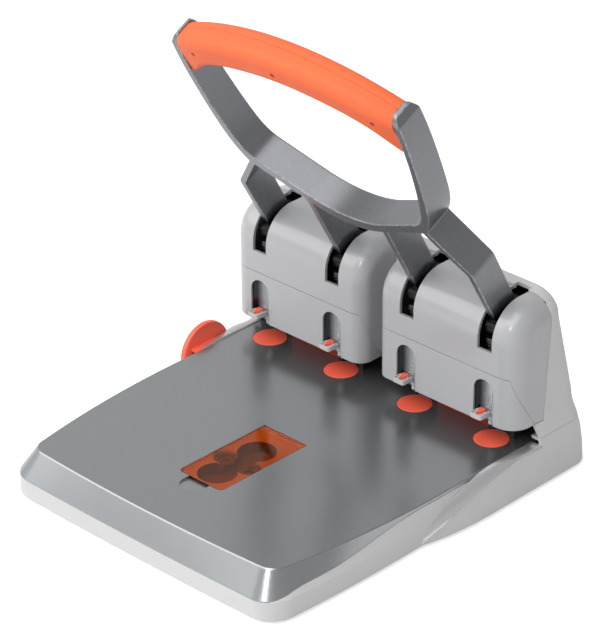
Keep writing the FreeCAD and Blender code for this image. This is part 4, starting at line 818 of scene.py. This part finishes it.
# Latch tab rims ---------------------------------------------------------------------------
def tab_rim(low, high, width):
    """A shallow tray with rounded front corners: the raised rim round a pointer."""
    rim = block(low, high)
    corners = [vertex.co.copy() for vertex in rim.data.vertices]

    def front_corner(edge):
        a, b = (corners[i] for i in edge.vertices)
        return abs(a.z - b.z) > SHORT and (a.y + b.y) / 2 < (low.y + high.y) / 2
    pick(rim, "EDGE", front_corner)
    bpy.ops.mesh.bevel(offset=RIM_CORNER, segments=5, affect="EDGES")
    bpy.ops.object.mode_set(mode="OBJECT")
    pick(rim, "FACE", lambda face: face.normal.z > 0.9)
    bpy.ops.mesh.inset(thickness=width)
    bpy.ops.mesh.extrude_region_move(
        TRANSFORM_OT_translate={"value": (0, 0, low.z + RIM_FLOOR - high.z)})
    bpy.ops.object.mode_set(mode="OBJECT")
    soften = rim.modifiers.new("Soft edges", "BEVEL")
    soften.width = RIM_EDGE
    soften.segments = 2
    soften.limit_method = "ANGLE"
    apply_modifiers(rim)
    return rim


class PUNCH_OT_tab_rims(bpy.types.Operator):
    """Raise a rim round the pointer of each latch tab"""
    bl_idname = "punch.tab_rims"
    bl_label = "Latch tab rims"

    def execute(self, context):
        sizes = context.scene.punch_sizes
        low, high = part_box("latch_tab_1")
        foot = Vector((low.x + RIM_INSET, low.y + RIM_INSET, high.z - RIM_SINK))
        top = Vector((high.x - RIM_INSET, low.y + RIM_LENGTH, high.z + sizes.rim_height))
        first = tab_rim(foot, top, sizes.rim_width)
        for n, rim in zip(STATIONS, with_copies(first, len(STATIONS))):
            rim.location.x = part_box(f"latch_tab_{n}")[0].x - low.x
            settle(rim, f"tab_rim_{n}", f"latch_{n}", tab_finish)
        return {"FINISHED"}


# Case screws ----------------------------------------------------------------------------
def case_screw(radius, low, high, recess):
    """A pan head with a rounded edge and a cross recess, seen from below."""
    deselect()
    bpy.ops.mesh.primitive_cylinder_add(
        vertices=40, radius=radius, depth=high - low, location=(0, 0, (low + high) / 2))
    screw = bpy.context.object
    apply_place(screw)
    heights = [vertex.co.z for vertex in screw.data.vertices]
    pick(screw, "EDGE", lambda edge: all(heights[i] < low + SHORT for i in edge.vertices))
    bpy.ops.mesh.bevel(offset=CASE_SCREW_EDGE, segments=4, affect="EDGES")
    bpy.ops.object.mode_set(mode="OBJECT")
    slim = recess * RECESS_SLIM
    for half_x, half_y in ((recess, slim), (slim, recess)):
        cutter = block(Vector((-half_x, -half_y, low - RECESS_DEPTH)),
                       Vector((half_x, half_y, low + RECESS_DEPTH)))
        cut = screw.modifiers.new("Recess", "BOOLEAN")
        cut.operation = "DIFFERENCE"
        cut.object = cutter
        apply_modifiers(screw)
        bpy.data.objects.remove(cutter)
    return screw


class PUNCH_OT_case_screws(bpy.types.Operator):
    """Put the four screws that hold the bottom cover"""
    bl_idname = "punch.case_screws"
    bl_label = "Case screws"

    def execute(self, context):
        sizes = context.scene.punch_sizes
        low = CASE_SCREW_SEAT - sizes.case_screw_height
        high = CASE_SCREW_SEAT + CASE_SCREW_SINK
        first = case_screw(sizes.case_screw_radius, low, high, sizes.recess_half)
        screws = with_copies(first, len(CASE_SCREW_PLACES))
        for n, (screw, (x, y)) in enumerate(zip(screws, CASE_SCREW_PLACES), 1):
            screw.location = (x, y, 0.0)
            settle(screw, f"case_screw_{n}", "base", steel_finish)
        return {"FINISHED"}


# Stage ----------------------------------------------------------------------------------
def floor_material(studio, rgb):
    """Pale floor: white to the camera and to mirrors, and it keeps the shadow."""
    material, sheet, shader = blank_material("pale studio floor")
    path = sheet.add("ShaderNodeLightPath").outputs
    mirrored = sheet.calc("MAXIMUM", path["Is Glossy Ray"], path["Is Transmission Ray"])
    mirrored = sheet.calc("MULTIPLY", mirrored, studio.mirror_share)
    seen = sheet.calc("MAXIMUM", path["Is Camera Ray"], mirrored)
    sheet.fill(shader, {
        "Base Color": shade(rgb), "Roughness": 0.9, "Specular IOR Level": 0.0,
        "Emission Color": (1.0, 1.0, 1.0, 1.0),
        "Emission Strength": sheet.calc("MULTIPLY", seen, studio.floor_lift)})
    return material


def area_lamp(name, power, size, place, aim):
    """A soft rectangular lamp, turned towards its aim."""
    data = bpy.data.lights.new(name, "AREA")
    data.energy = power
    data.shape = "RECTANGLE"
    data.size, data.size_y = size
    lamp = bpy.data.objects.new(name, data)
    bpy.context.scene.collection.objects.link(lamp)
    lamp.location = place
    lamp.rotation_euler = (Vector(aim) - Vector(place)).to_track_quat("-Z", "Y").to_euler()


def make_world(studio):
    """Studio room: a pale wall all round, brighter at the near side, under a dimmer ceiling."""
    world = bpy.data.worlds.new("soft studio")
    world.use_nodes = True
    world.node_tree.nodes.clear()
    sheet = Sheet(world.node_tree)
    parts = sheet.split(sheet.add("ShaderNodeTexCoord").outputs["Generated"])
    level = sheet.remap(parts["Z"], *CEILING_RISE, studio.wall, studio.ceiling)
    far = sheet.calc("ADD", *(sheet.calc("MULTIPLY", parts[axis], share)
                              for axis, share in zip("XY", FAR_WAY)))
    side = sheet.remap(far, -1.0, 1.0, studio.near_side, studio.far_side)
    level = sheet.calc("MULTIPLY", level, side)
    glow = sheet.add("ShaderNodeBackground", Color=(1.0, 1.0, 1.0, 1.0), Strength=level)
    out = sheet.add("ShaderNodeOutputWorld")
    sheet.set(out, "Surface", glow.outputs[0])
    bpy.context.scene.world = world


def make_camera(studio):
    """A long lens at the front right, looking down on the table."""
    data = bpy.data.cameras.new("camera")
    data.lens = studio.lens
    data.sensor_width = SENSOR_MM
    data.clip_end = CLIP_END
    camera = bpy.data.objects.new("camera", data)
    bpy.context.scene.collection.objects.link(camera)
    place = Vector(studio.camera_place)
    back = (place - Vector(studio.camera_target)).normalized()
    turn = back.to_track_quat("Z", "Y").to_matrix() @ Matrix.Rotation(studio.roll, 3, "Z")
    camera.matrix_world = Matrix.Translation(place) @ turn.to_4x4()
    bpy.context.scene.camera = camera


class PUNCH_OT_studio(bpy.types.Operator):
    """Set up the pale floor, the room, the lamps and the camera"""
    bl_idname = "punch.studio"
    bl_label = "Studio"

    def execute(self, context):
        scene = context.scene
        studio = scene.punch_studio
        deselect()
        bpy.ops.mesh.primitive_plane_add(size=FLOOR_SIZE, location=(0, 0, -FLOOR_DROP))
        floor = context.object
        floor.name = "floor"
        floor.data.materials.append(floor_material(studio, scene.punch_colours.floor))
        make_world(studio)
        for name, setting, size, place, aim in LAMPS:
            area_lamp(name, getattr(studio, setting), size, place, aim)
        make_camera(studio)
        scene.view_settings.view_transform = "Standard"
        return {"FINISHED"}


# Panel and registration ----------------------------------------------------------------
STEPS = (PUNCH_OT_finishes, PUNCH_OT_return_springs, PUNCH_OT_tab_rims, PUNCH_OT_case_screws,
         PUNCH_OT_studio)
SETTINGS = {"punch_colours": PunchColours, "punch_sizes": PunchSizes,
            "punch_studio": StudioSettings}


class PUNCH_PT_parts(bpy.types.Panel):
    """Sidebar panel with one button for each step"""
    bl_idname = "PUNCH_PT_parts"
    bl_label = "Lever hole punch"
    bl_space_type = "VIEW_3D"
    bl_region_type = "UI"
    bl_category = "Punch"

    def draw(self, context):
        for step in STEPS:
            self.layout.operator(step.bl_idname)
        for group_name in SETTINGS:
            box = self.layout.box()
            settings = getattr(context.scene, group_name)
            for key in settings.__annotations__:
                box.prop(settings, key)


CLASSES = (*SETTINGS.values(), *STEPS, PUNCH_PT_parts)


def register():
    for cls in CLASSES:
        bpy.utils.register_class(cls)
    for name, cls in SETTINGS.items():
        setattr(bpy.types.Scene, name, bpy.props.PointerProperty(type=cls))


def unregister():
    for name in SETTINGS:
        delattr(bpy.types.Scene, name)
    for cls in reversed(CLASSES):
        bpy.utils.unregister_class(cls)


def main():
    register()
    bpy.ops.punch.finishes()
    bpy.ops.punch.return_springs()
    bpy.ops.punch.tab_rims()
    bpy.ops.punch.case_screws()
    bpy.ops.punch.studio()


if __name__ == "__main__":
    main()
